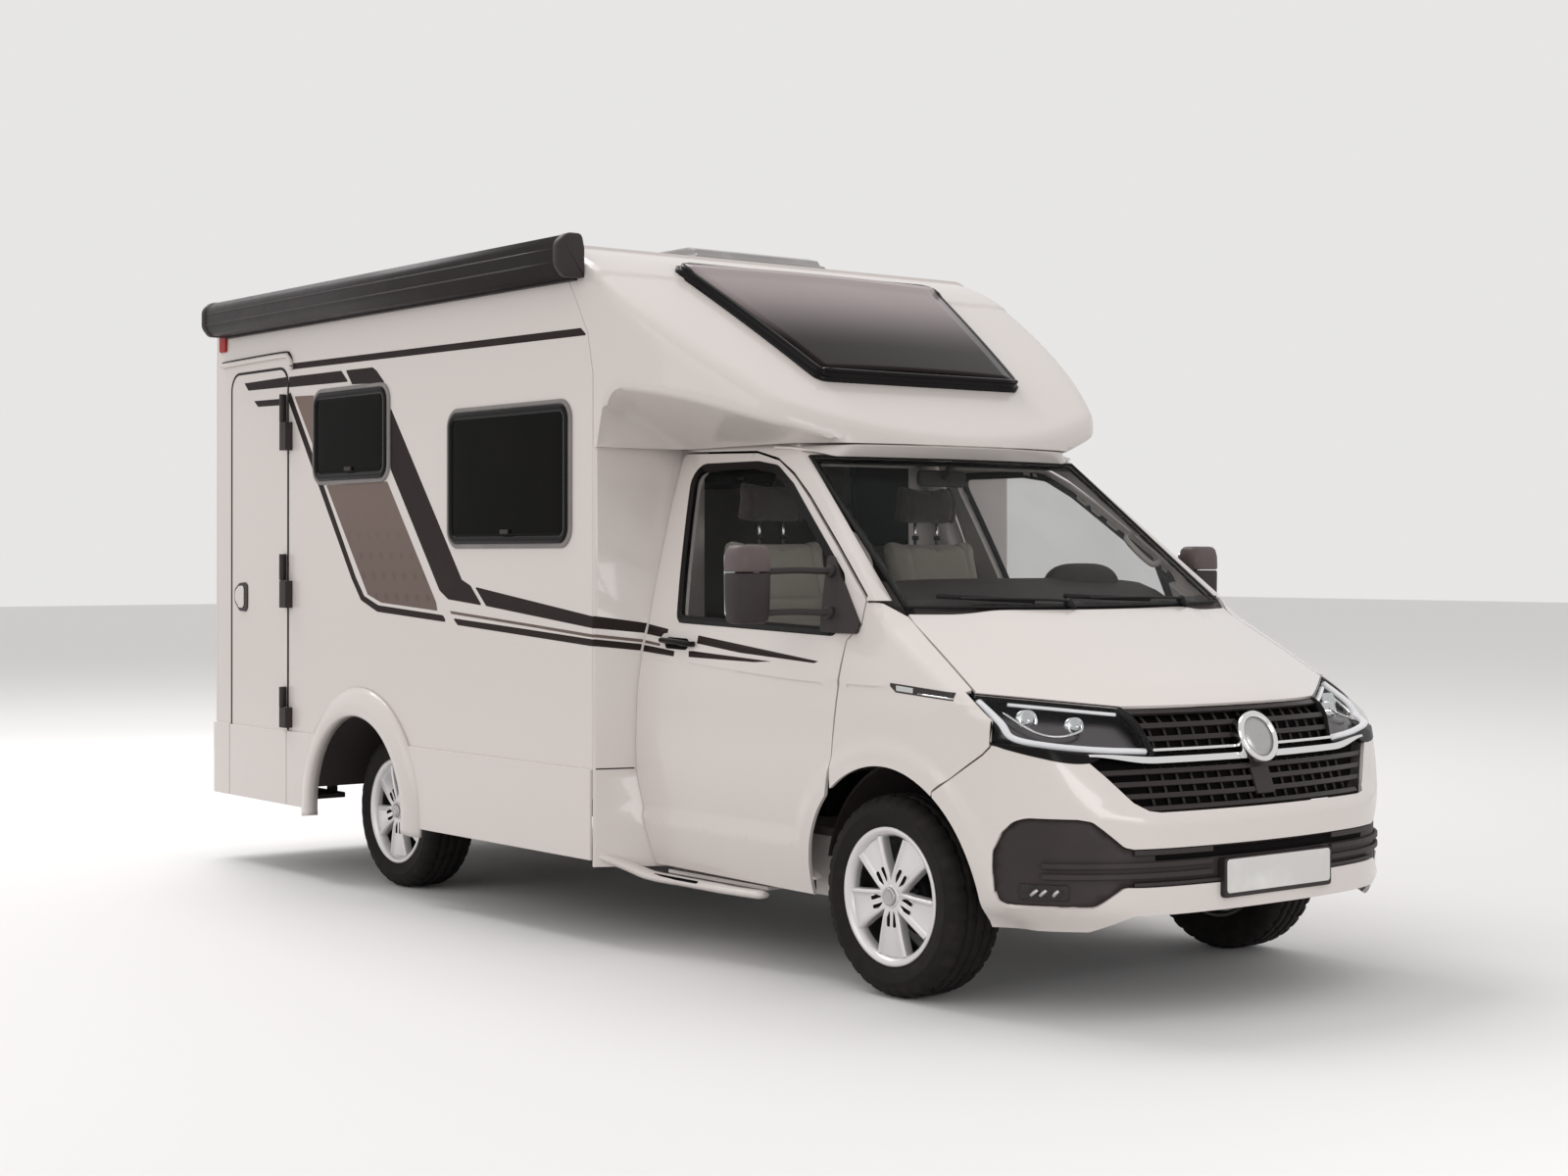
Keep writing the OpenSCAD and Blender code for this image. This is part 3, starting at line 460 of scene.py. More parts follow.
def block(lo, hi):
    """A box between two corners."""
    (a, b, c), (d, e, f) = lo, hi
    v = [(a, b, c), (d, b, c), (d, e, c), (a, e, c), (a, b, f), (d, b, f), (d, e, f), (a, e, f)]
    return np.array(v), [(3, 2, 1, 0), (4, 5, 6, 7), (0, 1, 5, 4), (1, 2, 6, 5), (2, 3, 7, 6), (3, 0, 4, 7)]


def prism(ring, axis, low, high):
    """A plane outline pushed along an axis; the outline holds the other two coordinates."""
    ring = np.asarray(ring, float)
    return loft([np.insert(ring, axis, level, axis=1) for level in (low, high)], True, BOTH)


def turned(profile, steps=64):
    """A profile of (radius, along) turned about the local Z axis."""
    t = np.linspace(0, 2 * np.pi, steps, endpoint=False)
    return loft([np.c_[r * np.cos(t), r * np.sin(t), np.full(steps, h)] for r, h in profile])


def fillet(ring, radius, steps=5):
    """A closed outline with its corners rounded, by one radius or one for each corner."""
    ring = np.asarray(ring, float)
    n, out = len(ring), []
    radii = np.broadcast_to(radius, (n,))
    for k in range(n):
        b, u, v = ring[k], ring[k - 1] - ring[k], ring[(k + 1) % n] - ring[k]
        lu, lv = np.linalg.norm(u), np.linalg.norm(v)
        u, v = u / lu, v / lv
        half = math.acos(max(-1, min(1, float(u @ v)))) / 2
        t = min(radii[k] / math.tan(half), 0.48 * lu, 0.48 * lv)
        if t < 1e-5 or half > 1.5:
            out.append(b)
            continue
        r = t * math.tan(half)
        centre = b + unit(u + v) * r / math.sin(half)
        a0 = math.atan2(*(b + u * t - centre)[::-1])
        a1 = math.atan2(*(b + v * t - centre)[::-1])
        turn = (a1 - a0 + math.pi) % (2 * math.pi) - math.pi
        for s in range(steps + 1):
            a = a0 + turn * s / steps
            out.append(centre + r * np.array([math.cos(a), math.sin(a)]))
    return np.array(out)


def rect(x0, z0, x1, z1, radius, steps=5):
    """A rectangle's outline with round corners."""
    return fillet([(x0, z0), (x1, z0), (x1, z1), (x0, z1)], radius, steps)


def resample(ring, gap):
    """A closed outline with extra points, none further apart than gap."""
    ring = np.asarray(ring, float)
    out = []
    for k, a in enumerate(ring):
        b = ring[(k + 1) % len(ring)]
        n = max(1, math.ceil(np.linalg.norm(b - a) / gap))
        out += [a + (b - a) * i / n for i in range(n)]
    return np.array(out)


def dense(line, gap):
    """An open line with extra points."""
    line = np.asarray(line, float)
    out = []
    for a, b in zip(line[:-1], line[1:]):
        n = max(1, math.ceil(np.linalg.norm(b - a) / gap))
        out += [a + (b - a) * i / n for i in range(n)]
    return np.array(out + [line[-1]])


def spaced(line, at, run):
    """Points of a line at given lengths along it."""
    return np.c_[tuple(np.interp(at, run, line[:, k]) for k in range(line.shape[1]))]


def lengths(line):
    """The length along a line up to each of its points."""
    return np.r_[0, np.cumsum(np.linalg.norm(np.diff(line, axis=0), axis=1))]


def even(ring, n):
    """A closed ring with n points at equal steps."""
    loop = np.vstack([ring, ring[:1]])
    run = lengths(loop)
    return spaced(loop, np.linspace(0, run[-1], n, endpoint=False), run)


def inside(points, ring):
    """Which of the points lie in a closed outline."""
    x, y = points[:, 0], points[:, 1]
    hit = np.zeros(len(points), bool)
    for a, b in zip(ring, np.roll(ring, -1, 0)):
        cross = (a[1] > y) != (b[1] > y)
        with np.errstate(divide="ignore", invalid="ignore"):
            hit ^= cross & (x < (b[0] - a[0]) * (y - a[1]) / (b[1] - a[1]) + a[0])
    return hit


def below(ring, level):
    """The part of a plane outline under a level."""
    out = []
    ring = [np.asarray(p, float) for p in ring]
    for a, b in zip(ring, ring[1:] + ring[:1]):
        da, db = level - a[1], level - b[1]
        if da >= 0:
            out.append(a)
        if da * db < 0:
            out.append(a + (b - a) * da / (da - db))
    return out


def inset(ring, d):
    """A closed outline moved inwards by d."""
    ring = np.asarray(ring, float)
    before, after = np.roll(ring, 1, 0), np.roll(ring, -1, 0)
    area = (ring[:, 0] * after[:, 1] - after[:, 0] * ring[:, 1]).sum()

    def across(a, b):
        e = (b - a) * (1 if area > 0 else -1)
        n = np.c_[-e[:, 1], e[:, 0]]
        return n / np.maximum(np.linalg.norm(n, axis=1), 1e-9)[:, None]

    n1, n2 = across(before, ring), across(ring, after)
    return ring + (n1 + n2) / np.maximum(1 + (n1 * n2).sum(1), 0.3)[:, None] * d


def clear_of(ring, centre, radius):
    """An outline whose points inside a circle are moved out onto it."""
    ring = resample(ring, 0.01)
    d = ring - np.asarray(centre)
    r = np.linalg.norm(d, axis=1)[:, None]
    return np.where(r < radius, np.asarray(centre) + d / np.maximum(r, 1e-9) * radius, ring)


def mirrored(points):
    """A line on the vehicle's other side, run backwards."""
    p = np.array(points, float)
    p[:, 1] *= -1
    return p[::-1]


def both_sides(points):
    """A half outline in front view, closed with its mirror image."""
    p = np.asarray(points, float)
    return np.concatenate([p, p[::-1] * (-1, 1)])


# Forms are fields, negative inside; panels are laid on them along rays
def land(start, way, field, reach=2.4, steps=90):
    """The first points of a form along rays, or where a ray passes it closest."""
    t = np.linspace(0, reach, steps)
    n = len(start)
    low, high = np.zeros(n), np.full(n, reach)
    best, best_t, done = np.full(n, 1e9), np.zeros(n), np.zeros(n, bool)
    for k in range(1, steps):
        f = field(start + way * t[k])
        near = ~done & (f < best)
        best[near], best_t[near] = f[near], t[k]
        new = ~done & (f < 0)
        low[new], high[new] = t[k - 1], t[k]
        done |= new
        if done.all():
            break
    for _ in range(26):
        mid = (low + high) / 2
        out = field(start + way * mid[:, None]) > 0
        low, high = np.where(out, mid, low), np.where(out, high, mid)
    return start + way * np.where(done, high, best_t)[:, None]


class Facing:
    """Maps points to a plane seen along a direction, and rays back onto a form."""

    REACH = 1.5

    def __init__(self, normal):
        self.n = unit(normal)
        self.u = unit(np.cross((0, 0, 1), self.n))
        self.v = np.cross(self.n, self.u)

    def flat(self, points):
        p = np.asarray(points, float)
        self.depth = float((p @ self.n).mean())
        return np.c_[p @ self.u, p @ self.v]

    def rays(self, q):
        start = q[:, :1] * self.u + q[:, 1:] * self.v + (self.depth + self.REACH / 2) * self.n
        return start, np.broadcast_to(-self.n, start.shape)


class Around:
    """The same round an upright axis at x: angle and height."""

    FAR = 2.2

    def __init__(self, x):
        self.x = x

    def flat(self, points):
        p = np.asarray(points, float)
        return np.c_[np.arctan2(p[:, 1], p[:, 0] - self.x), p[:, 2]]

    def rays(self, q):
        a = q[:, 0]
        way = np.c_[-np.cos(a), -np.sin(a), 0 * a]
        return np.c_[self.x + 0 * a, 0 * a, q[:, 1]] - way * self.FAR, way


class Dome:
    """The same round a point: angles from a direction."""

    FAR = 2.3

    def __init__(self, centre, normal):
        self.c, self.n = np.asarray(centre, float), unit(normal)
        self.u = unit(np.cross((0, 0, 1), self.n))
        self.v = np.cross(self.n, self.u)

    def flat(self, points):
        d = np.asarray(points, float) - self.c
        d /= np.linalg.norm(d, axis=1)[:, None]
        a = np.arccos(np.clip(d @ self.n, -1, 1))
        q = np.c_[d @ self.u, d @ self.v]
        return q * (a / np.maximum(np.linalg.norm(q, axis=1), 1e-9))[:, None]

    def rays(self, q):
        a = np.linalg.norm(q, axis=1)
        w = q * (np.sin(a) / np.maximum(a, 1e-9))[:, None]
        way = -(np.cos(a)[:, None] * self.n + w[:, :1] * self.u + w[:, 1:] * self.v)
        return self.c - way * self.FAR, way


def lay(ring, view, field, gap, holes=(), lines=()):
    """Triangles over an outline in space, laid on a form along a view's rays; lines stay edges."""
    loops = [view.flat(resample(r, gap * 0.8)) for r in (*holes, ring)]
    outer = loops[-1]

    def within(points):
        keep = inside(points, outer)
        for hole in loops[:-1]:
            keep &= ~inside(points, hole)
        return keep

    lo, hi = outer.min(0), outer.max(0)
    rows = np.arange(lo[1], hi[1], gap * 0.87)
    cols = np.arange(lo[0], hi[0] + gap, gap)
    grid = np.array([(x + (k % 2) * gap / 2, y) for k, y in enumerate(rows) for x in cols])
    grid = grid[within(grid)]
    folds = [view.flat(line) for line in lines]
    rim = np.concatenate(loops + folds)
    if len(grid):
        near = np.full(len(grid), 1e9)
        for p in rim:
            near = np.minimum(near, ((grid - p) ** 2).sum(1))
        grid = grid[near > (0.55 * gap) ** 2]
    edges, start = [], 0
    for r in loops:
        edges += [(start + i, start + (i + 1) % len(r)) for i in range(len(r))]
        start += len(r)
    for line in folds:
        edges += [(start + i, start + i + 1) for i in range(len(line) - 1)]
        start += len(line)
    flat = np.concatenate([rim, grid]) if len(grid) else rim
    found = delaunay_2d_cdt([Vector(p) for p in flat], edges, [], 0, 1e-7)
    points, faces = np.array([tuple(p) for p in found[0]]), np.array(found[2])
    faces = faces[within(points[faces].mean(1))]
    start, way = view.rays(points)
    verts = land(start, way, field)
    a, b, c = (verts[faces[:, k]] for k in range(3))
    normal = np.cross(b - a, c - a)
    size = np.linalg.norm(normal, axis=1)
    facing = (normal * -way[faces[:, 0]]).sum(1)
    faces = np.where((facing < 0)[:, None], faces[:, ::-1], faces)
    return verts, faces[size > 1e-10].tolist()


def smax(a, b, k):
    """The greater of two fields with a rounded edge of about k."""
    h = np.maximum(k - np.abs(a - b), 0) / k
    return np.maximum(a, b) + h * h * k / 4


def step(x, low, high):
    """A smooth step from zero at low to one at high."""
    t = np.clip((x - low) / (high - low), 0, 1)
    return t * t * (3 - 2 * t)


def turned_axes(about_y):
    """The X and Z axes after a turn about Y, in degrees."""
    a = math.radians(about_y)
    return np.array([math.cos(a), 0, -math.sin(a)]), np.array([math.sin(a), 0, math.cos(a)])


# The cab's form
BONNET_Z, SCREEN_Z = turned_axes(24)[1], turned_axes(37.8)[1]
FASCIA_X, FASCIA_Z = turned_axes(-20.9)
LIP_X = turned_axes(48)[0]
LEAN = math.radians(18.8)
SHOULDER = np.array([0.4717, 0.2456, 0.8469])
CORNER_R, BARREL_R, BOW_R, SCREEN_R, CROWN_R = 1.340, 2.2, 2.6, 4.4, 8.0
LOW_FOLD, LEDGE = 0.525, 0.036


def waist(x):
    """Height of the fold along doors and wings."""
    return 1.108 - 0.05 * step(x, 0.55, 1.75)


def screen_field(p):
    q = p - np.array([FRONT_AXLE + 0.068, 0, 1.318])
    return np.hypot(p[:, 1], q @ SCREEN_Z + SCREEN_R) - SCREEN_R


def side_relief(x, z):
    """How far the cab's side is pressed in: waist fold, low ledge, arch flare and tuck under the bumper."""
    fold = 0.007 * step(waist(x) - z, 0.0, 0.008) * step(2.25 - x, 0.0, 0.3)
    ledge = 0.015 * step(LOW_FOLD - z, 0.0, LEDGE) * step(1.62 - x, 0.0, 0.12)
    flare = 0.013 * step(0.54 - np.hypot(x - FRONT_AXLE, z - TYRE_R), 0.0, 0.05)
    tuck = 0.08 * step(0.380 - z, 0.0, 0.10) * step(x, 2.40, 2.55)
    return fold - np.maximum(ledge, flare) + tuck


def cab(p):
    x, y, z = p.T
    ay = np.abs(y)
    corner = FRONT_AXLE + 0.168
    relief = side_relief(x, z)
    side = np.where(x > corner, np.hypot(x - corner, ay + 0.385) - CORNER_R, ay - CAB_HALF) + relief
    barrel = np.hypot(ay + BARREL_R - CAB_HALF, z - 0.85) - BARREL_R + relief
    lean = (ay - CAB_HALF + 0.03) * math.cos(LEAN) + (z - 1.22) * math.sin(LEAN)
    bow = np.hypot(x - HALF + BOW_R, y) - BOW_R
    shape = smax(smax(side, bow, 0.26), np.maximum(barrel, side - 0.05), 0.004)
    shape = smax(shape, lean, 0.05)
    shoulder = np.c_[x - FRONT_AXLE - 0.364, ay - 0.907, z - 1.052] @ SHOULDER
    crown = np.hypot(y, (p - np.array([HALF - 0.15, 0, 1.003])) @ BONNET_Z + CROWN_R) - CROWN_R
    swell = 0.010 * step(0.62 - ay, 0.0, 0.16) * step(z, 1.0, 1.08)
    front = np.hypot((p - np.array([HALF - 0.015, 0, 0.65])) @ FASCIA_X + BOW_R, y) - BOW_R
    lip = (p - np.array([HALF, 0, 0.4])) @ LIP_X
    nose = smax(smax(smax(shoulder, crown - swell, 0.05), front, 0.035), lip, 0.03)
    return smax(shape, np.minimum(nose, screen_field(p)), 0.025)


def deep(field, d):
    """The field moved inwards by d."""
    return lambda p: field(p) + d


def on_side(points, s, field=cab, far=1.6):
    """Side-view points (x, z) on a form's side."""
    q = np.asarray(points, float)
    start = np.c_[q[:, 0], np.full(len(q), s * far), q[:, 1]]
    return land(start, np.broadcast_to([0, -s, 0], start.shape), field, far)


def on_front(points, field=cab):
    """Front-view points (y, z) on a form's front."""
    q = np.asarray(points, float)
    start = np.c_[np.full(len(q), 3.3), q]
    return land(start, np.broadcast_to([-1.0, 0, 0], start.shape), field, 2.4)


def on_top(points, field=cab):
    """Top-view points (x, y) on a form's top."""
    q = np.asarray(points, float)
    start = np.c_[q, np.full(len(q), 3.1)]
    return land(start, np.broadcast_to([0, 0, -1.0], start.shape), field, 2.9)


def side_at(s, depth):
    """Lays side-view points on the cab, sunk by depth."""
    return lambda q: on_side(q, s, deep(cab, depth))


def front_at(depth):
    """Lays front-view points on the cab, sunk by depth."""
    return lambda q: on_front(q, deep(cab, depth))


def from_axle(points):
    """Outline in millimetres from the front axle to metres in the frame."""
    return np.array([(FRONT_AXLE + x / 1000, z / 1000) for x, z in points])


def side_ring(points, s):
    """Side-view points near the cab's side, to be laid on it."""
    q = np.asarray(points, float)
    return np.c_[q[:, 0], np.full(len(q), s * 0.9), q[:, 1]]


def ribbon(low, high, lift, rows=2, flip=False):
    """A strip between two equally long lines of an outline, laid on a form."""
    low, high = np.asarray(low, float), np.asarray(high, float)
    return flipped(loft([lift(low + (high - low) * t) for t in np.linspace(0, 1, rows)], False), flip)


def level_strip(z, height, ys, lift, rows):
    """A level strip across the front, about the height z."""
    n = len(ys)
    return ribbon(np.c_[ys, np.full(n, z - height / 2)], np.c_[ys, np.full(n, z + height / 2)], lift, rows)


def span(low, high, half, lift, rows=2, n=49):
    """A strip across the front's middle between two heights."""
    y = np.linspace(-half, half, n)
    return ribbon(np.c_[y, np.full(n, low)], np.c_[y, np.full(n, high)], lift, rows)


# Outlines of the cab's panels: side view from the axle in millimetres, front view (y, z) in metres
DOOR_EDGE = from_axle([
    (-1512, 1900), (-1432, 1250), (-1455, 995), (-1468, 660), (-1402, 312), (-395, 300), (-283, 770),
    (-235, 1207),
    (-174, 1262), (-174, 1348), (-408, 1536), (-636, 1709), (-767, 1796), (-885, 1855), (-1033, 1888),
])
DOOR_WINDOW = from_axle([
    (-1404, 1840), (-1238, 1262), (-300, 1236), (-330, 1420), (-480, 1536), (-763, 1752), (-888, 1822),
    (-1013, 1840),
])
WINDOW_CORNERS = (0.05, 0.03, 0.02, 0.05, 0.06, 0.08, 0.08, 0.05)
ARCH, ARCH_R = (FRONT_AXLE, TYRE_R), 0.443
BONNET_SIDE = np.array([(0.0, 0.8125), (0.13, 0.8335), (0.25, 0.853), (0.37, 0.872), (0.385, 0.876)])
BONNET_FRONT = np.array([(0.880, 1.0515), (0.70, 1.0305), (0.49, 1.0055), (0.0, 1.0050)])
BONNET_OUT, SCREEN_OUT = (0.5, 0, 0.866), (0.613, 0, 0.79)
LAMP = np.array([(0.490, 1.000), (0.904, 1.048), (0.914, 0.892), (0.700, 0.856), (0.444, 0.848)])
LOW_GRILLE = [(0.712, 0.851), (0.706, 0.842), (0.655, 0.790), (0.580, 0.706), (0.540, 0.680), (0.500, 0.674)]
GRILLE = [
    (0.486, 0.999), (0.446, 0.852), (0.700, 0.840), (0.655, 0.790), (0.580, 0.706), (0.540, 0.682),
    (0.50, 0.676),
]
INSERT = [
    (0.600, 0.560), (0.630, 0.567), (0.690, 0.622), (0.722, 0.650), (0.760, 0.658), (0.868, 0.660),
    (0.888, 0.645),
    (0.903, 0.610), (0.913, 0.550), (0.918, 0.480), (0.917, 0.420), (0.908, 0.383), (0.893, 0.370),
    (0.715, 0.374),
    (0.629, 0.438), (0.56, 0.436),
]
FOLD_ROWS = (0.007, 0.0, -0.008, -0.015)
FRONT_AXIS, FOOT_CENTRE = 1.75, 2.504


def foot_arc(radius, y):
    """Top view of the arcs along the bonnet's rear edge and the windscreen's foot."""
    return np.c_[FRONT_AXLE - FOOT_CENTRE + np.sqrt(radius**2 - y**2), y]


def arch_line(start, end, n):
    """Side view of the front wheel arch between two angles."""
    turn = np.radians(np.linspace(start, end, n))
    return np.c_[FRONT_AXLE + ARCH_R * np.cos(turn), TYRE_R + ARCH_R * np.sin(turn)]


def make_bonnet(trim):
    view = Facing(BONNET_OUT)
    rear = on_top(foot_arc(2.604, np.linspace(-0.8075, 0.8075, 41)))
    flank = on_top(BONNET_SIDE + (FRONT_AXLE, 0))
    front = on_front(dense(BONNET_FRONT, 0.02))
    ring = np.concatenate([rear, flank, front, mirrored(front)[1:], mirrored(flank)])
    add("bonnet_skin", lay(ring, view, cab, trim.mesh), "paint", "bonnet_lid",
        solid=0.012, edge=trim.edge, nodes=("bonnet",))
    inner = [(0.10, -0.70), (0.10, 0.70), (0.45, 0.72), (0.62, 0.40), (0.62, -0.40), (0.45, -0.72)]
    inner = on_top([(FRONT_AXLE + x, y) for x, y in inner])
    add("bonnet_lining", lay(inner, view, deep(cab, 0.013), 0.05), "plastic", "bonnet_lid", solid=0.010,
        edge=0.004)


def make_wings(trim):
    rear = from_axle([(-277, 692), (-277, 770), (-229, 1205), (-166, 1258), (-166, 1336), (-95, 1334)])
    seam = from_axle([(484, 884), (458, 858), (258, 725)])
    lamp_edge = np.array([(0.9065, 1.053), (0.9115, 0.97), (0.9165, 0.890)])
    bonnet_edge = BONNET_SIDE + (FRONT_AXLE - 0.02, 0.005)
    arch = arch_line(55, 128, 20)
    x = np.arange(FRONT_AXLE - 0.20, FRONT_AXLE + 0.02, 0.02)
    for s, side in SIDES:
        ring = np.concatenate([on_side(rear, s), on_top(bonnet_edge * (1, s)), on_front(lamp_edge * (s, 1)),
                               on_side(seam, s), on_side(arch, s)])
        folds = [on_side(np.c_[x, waist(x) + d], s) for d in FOLD_ROWS]
        made = lay(ring, Facing((0.3, 0.85 * s, 0.4)), cab, trim.mesh, (), folds)
        add("front_wing_" + side, made, "paint", solid=trim.skin, edge=trim.edge,
            nodes=once(s, "front_wings"))
        make_indicator(s, side)


def make_indicator(s, side):
    """The lamp strip in the wing: a dark strip with a lens and a bright line."""
    n = 12
    x = np.linspace(FRONT_AXLE + 0.03, FRONT_AXLE + 0.345, n)
    low = np.c_[x, np.linspace(1.041, 1.024, n)]
    high = np.c_[x, np.linspace(1.071, 1.052, n)]
    low[0, 1] = 1.060
    lens, line = slice(1, 5), slice(5, n)
    for name, finish, a, b, out, rows, look in (
        ("indicator_", "smooth_plastic", low, high, 0.001, 4, dict(solid=0.006, edge=0.0012)),
        ("indicator_lens_", "white_lamp", low[lens] + (0.004, 0.006), high[lens] + (0.004, -0.006), 0.003, 3,
         dict(solid=0.004, edge=0.001)),
        ("indicator_trim_", "chrome", low[line] + (0, 0.005), low[line] + (0, 0.009), 0.0022, 2,
         dict(solid=0.003)),
    ):
        add(name + side, ribbon(a, b, side_at(s, -out), rows, s > 0), finish, **look)


def fold_lines(s):
    """Level lines along the door's pressed folds, so that its mesh has edges there."""
    x = np.arange(0.66, 1.70, 0.02)
    rows = [waist(x) + d for d in FOLD_ROWS] + [np.full(len(x), z) for z in (LOW_FOLD, LOW_FOLD - LEDGE)]
    return [side_ring(np.c_[x, z], s) for z in rows]


def make_doors(trim):
    edge = clear_of(fillet(DOOR_EDGE, 0.018), ARCH, ARCH_R)
    window = fillet(DOOR_WINDOW, WINDOW_CORNERS)
    frame_edge = inset(clear_of(DOOR_EDGE, ARCH, ARCH_R)[::3], 0.052)
    card = inset(below(frame_edge, 1.215), 0.02)
    bead = [from_axle([(a, z), (-700, z - d), (-330, z - e)])
            for a, z, d, e in ((-1236, 1246, 13, 24), (-1240, 1262, 13, 24))]
    for s, side in SIDES:
        body, view = side + "_door", Facing((0, s, 0))

        def put(name, ring, depth, gap, finish, holes=(), lines=(), **look):
            holes = [side_ring(h, s) for h in holes]
            made = lay(side_ring(ring, s), view, deep(cab, depth), gap, holes, lines)
            add(name + side, made, finish, body, **look)

        put("cab_door_skin_", edge, 0, trim.mesh, "paint", [window], fold_lines(s), solid=trim.skin,
            edge=trim.edge, nodes=("cab_door_" + side,))
        put("cab_door_frame_", frame_edge, trim.skin - 0.001, 0.05, "paint", [inset(window, -0.006)],
            solid=0.030, edge=0.004)
        put("cab_door_card_", card, 0.042, 0.05, "plastic", solid=0.014, edge=0.005)
        pull = on_side([(1.05, 1.02), (1.12, 1.05), (1.30, 1.06), (1.37, 1.03)], s, deep(cab, 0.066))
        add("cab_door_pull_" + side, bar(smooth_path(pull), 0.016), "smooth_plastic", body)
        put("window_seal_", inset(window, -0.018), -0.0016, 0.03, "gloss_black", [inset(window, 0.012)],
            solid=0.016, edge=0.0015)
        put("door_pane_", inset(window, 0.002), 0.018, 0.05, "glass", solid=0.004,
            nodes=("door_glass_" + side,))
        add("window_bead_" + side, ribbon(*bead, side_at(s, -0.004), 3, s > 0), "seal", body,
            solid=0.008, edge=0.0015)
        make_door_handle(s, put, side, body)


def make_door_handle(s, put, side, body):
    """A grip bar over a shallow cup in a plate."""
    plate = fillet([(0.700, 1.145), (0.932, 1.140), (0.932, 1.196), (0.700, 1.204)], 0.025)
    cup = fillet([(0.735, 1.146), (0.885, 1.143), (0.885, 1.186), (0.735, 1.190)], 0.02)
    put("handle_plate_", plate, -0.0012, 0.03, "paint", solid=0.004, edge=0.001)
    # The cup is painted shade: a near-black surface for the shade in the recess behind the grip
    put("handle_cup_", cup, -0.0022, 0.02, "void", solid=0.003)
    path = on_side([(0.712, 1.176), (0.74, 1.177), (0.82, 1.174), (0.90, 1.168), (0.926, 1.167)], s)
    path[:, 1] += s * np.array([0.004, 0.022, 0.030, 0.022, 0.004])
    add("handle_grip_" + side, bar(smooth_path(path), 0.013, 12, 0.8), "gloss_black", body, edge=0.002)


def make_glass(trim):
    foot = on_top(foot_arc(2.576, np.linspace(-0.80, 0.80, 31)), screen_field)
    top = on_front(np.c_[np.linspace(0.681, -0.681, 21), np.full(21, 1.865)], screen_field)
    ring = np.concatenate([foot, top])
    view = Facing(SCREEN_OUT)
    add("windscreen_pane", lay(ring, view, deep(cab, 0.0015), 0.06), "glass", solid=0.005,
        nodes=("windscreen",))
    behind = deep(cab, 0.0075)
    hole = land(*view.rays(inset(view.flat(ring), 0.032)), behind)
    add("windscreen_border", lay(ring, view, behind, 0.04, [hole]), "gloss_black", solid=0.002)
    edge = np.concatenate([ring, ring[:1]]) + np.array([0.002, 0, 0.0025])
    add("windscreen_seal", bar(edge, 0.006, 8), "seal")
    make_wipers()


def make_wipers():
    """Two arms with blades along the foot of the windscreen."""
    def at_screen(y, up, off):
        spot = foot_arc(2.56, np.array([y])) - (up * SCREEN_OUT[2], 0)
        return on_top(spot, screen_field)[0] + np.array(SCREEN_OUT) * off

    for k, (y0, y1, y2) in enumerate(((0.52, 0.10, -0.12), (-0.12, -0.50, -0.66))):
        arm = [at_screen(y0, -0.03, 0.004), at_screen(y0 - 0.03, -0.015, 0.024),
               at_screen((y0 + y1) / 2, 0.0, 0.022), at_screen((y1 + y2) / 2, 0.012, 0.016)]
        blade = [at_screen(y, 0.004 + 0.004 * t, 0.010) for t, y in enumerate(np.linspace(y1 + 0.22, y2, 8))]
        parts = [bar(smooth_path(arm), 0.008, 8, 0.6), bar(blade, 0.006, 6, 1.6), bar(arm[:2], 0.016, 12)]
        add("wiper_%d" % k, merge(parts), "seal")


def make_bumper(trim):
    seam = from_axle([(489, 879), (461, 853), (261, 720)])
    half_top = np.concatenate([LOW_GRILLE[::-1], [(0.914, 0.887)]])
    low_edge = dense([(0.80, 0.291), (0.70, 0.293), (0.60, 0.345), (0.02, 0.348)], 0.03)
    left = np.concatenate([on_front(half_top), on_side(seam, 1), on_side(arch_line(54, -7, 22), 1),
            on_front(low_edge)])
    ring = np.concatenate([left, mirrored(left)])
    view = Around(FRONT_AXIS)
    hole = on_front(resample(fillet(both_sides(INSERT), 0.035), 0.015))
    add("front_bumper_skin", lay(ring, view, cab, trim.mesh, [hole]), "paint",
        solid=trim.skin, edge=trim.edge, nodes=("front_bumper",))
    add("bumper_insert_face", lay(hole, view, deep(cab, 0.012), 0.03), "plastic",
        solid=0.02, nodes=("bumper_insert",))
    ribs = ((0.548, 0.018, 0.30, 0.60), (0.508, 0.018, 0.30, 0.84), (0.474, 0.018, 0.30, 0.84),
            (0.446, 0.012, 0.0, 0.60))
    for k, (z, height, y0, y1) in enumerate(ribs):
        for s, side in SIDES:
            y = (np.linspace(y0, y1, 30) * s)[::s]
            add("insert_rib_%d_%s" % (k, side), level_strip(z, height, y, front_at(-0.001), 3), "plastic",
                solid=0.012, edge=0.003)
    # The slot is painted shade: a near-black strip for the shade inside the opening
    add("insert_slot", span(0.520, 0.553, 0.52, front_at(0.0105)), "void", solid=0.004)
    for s, side in SIDES:
        make_fog_lamp(s, side)
    x = float(on_front([(0.0, 0.47)])[0, 0])
    slab("plate_holder", rect(-0.27, 0.385, 0.27, 0.515, 0.012)[::-1], 0, x - 0.03, x + 0.006,
         "smooth_plastic", edge=0.003)
    slab("plate_front", rect(-0.26, 0.400, 0.26, 0.510, 0.012)[::-1], 0, x + 0.004, x + 0.008, "plate",
         edge=0.001)


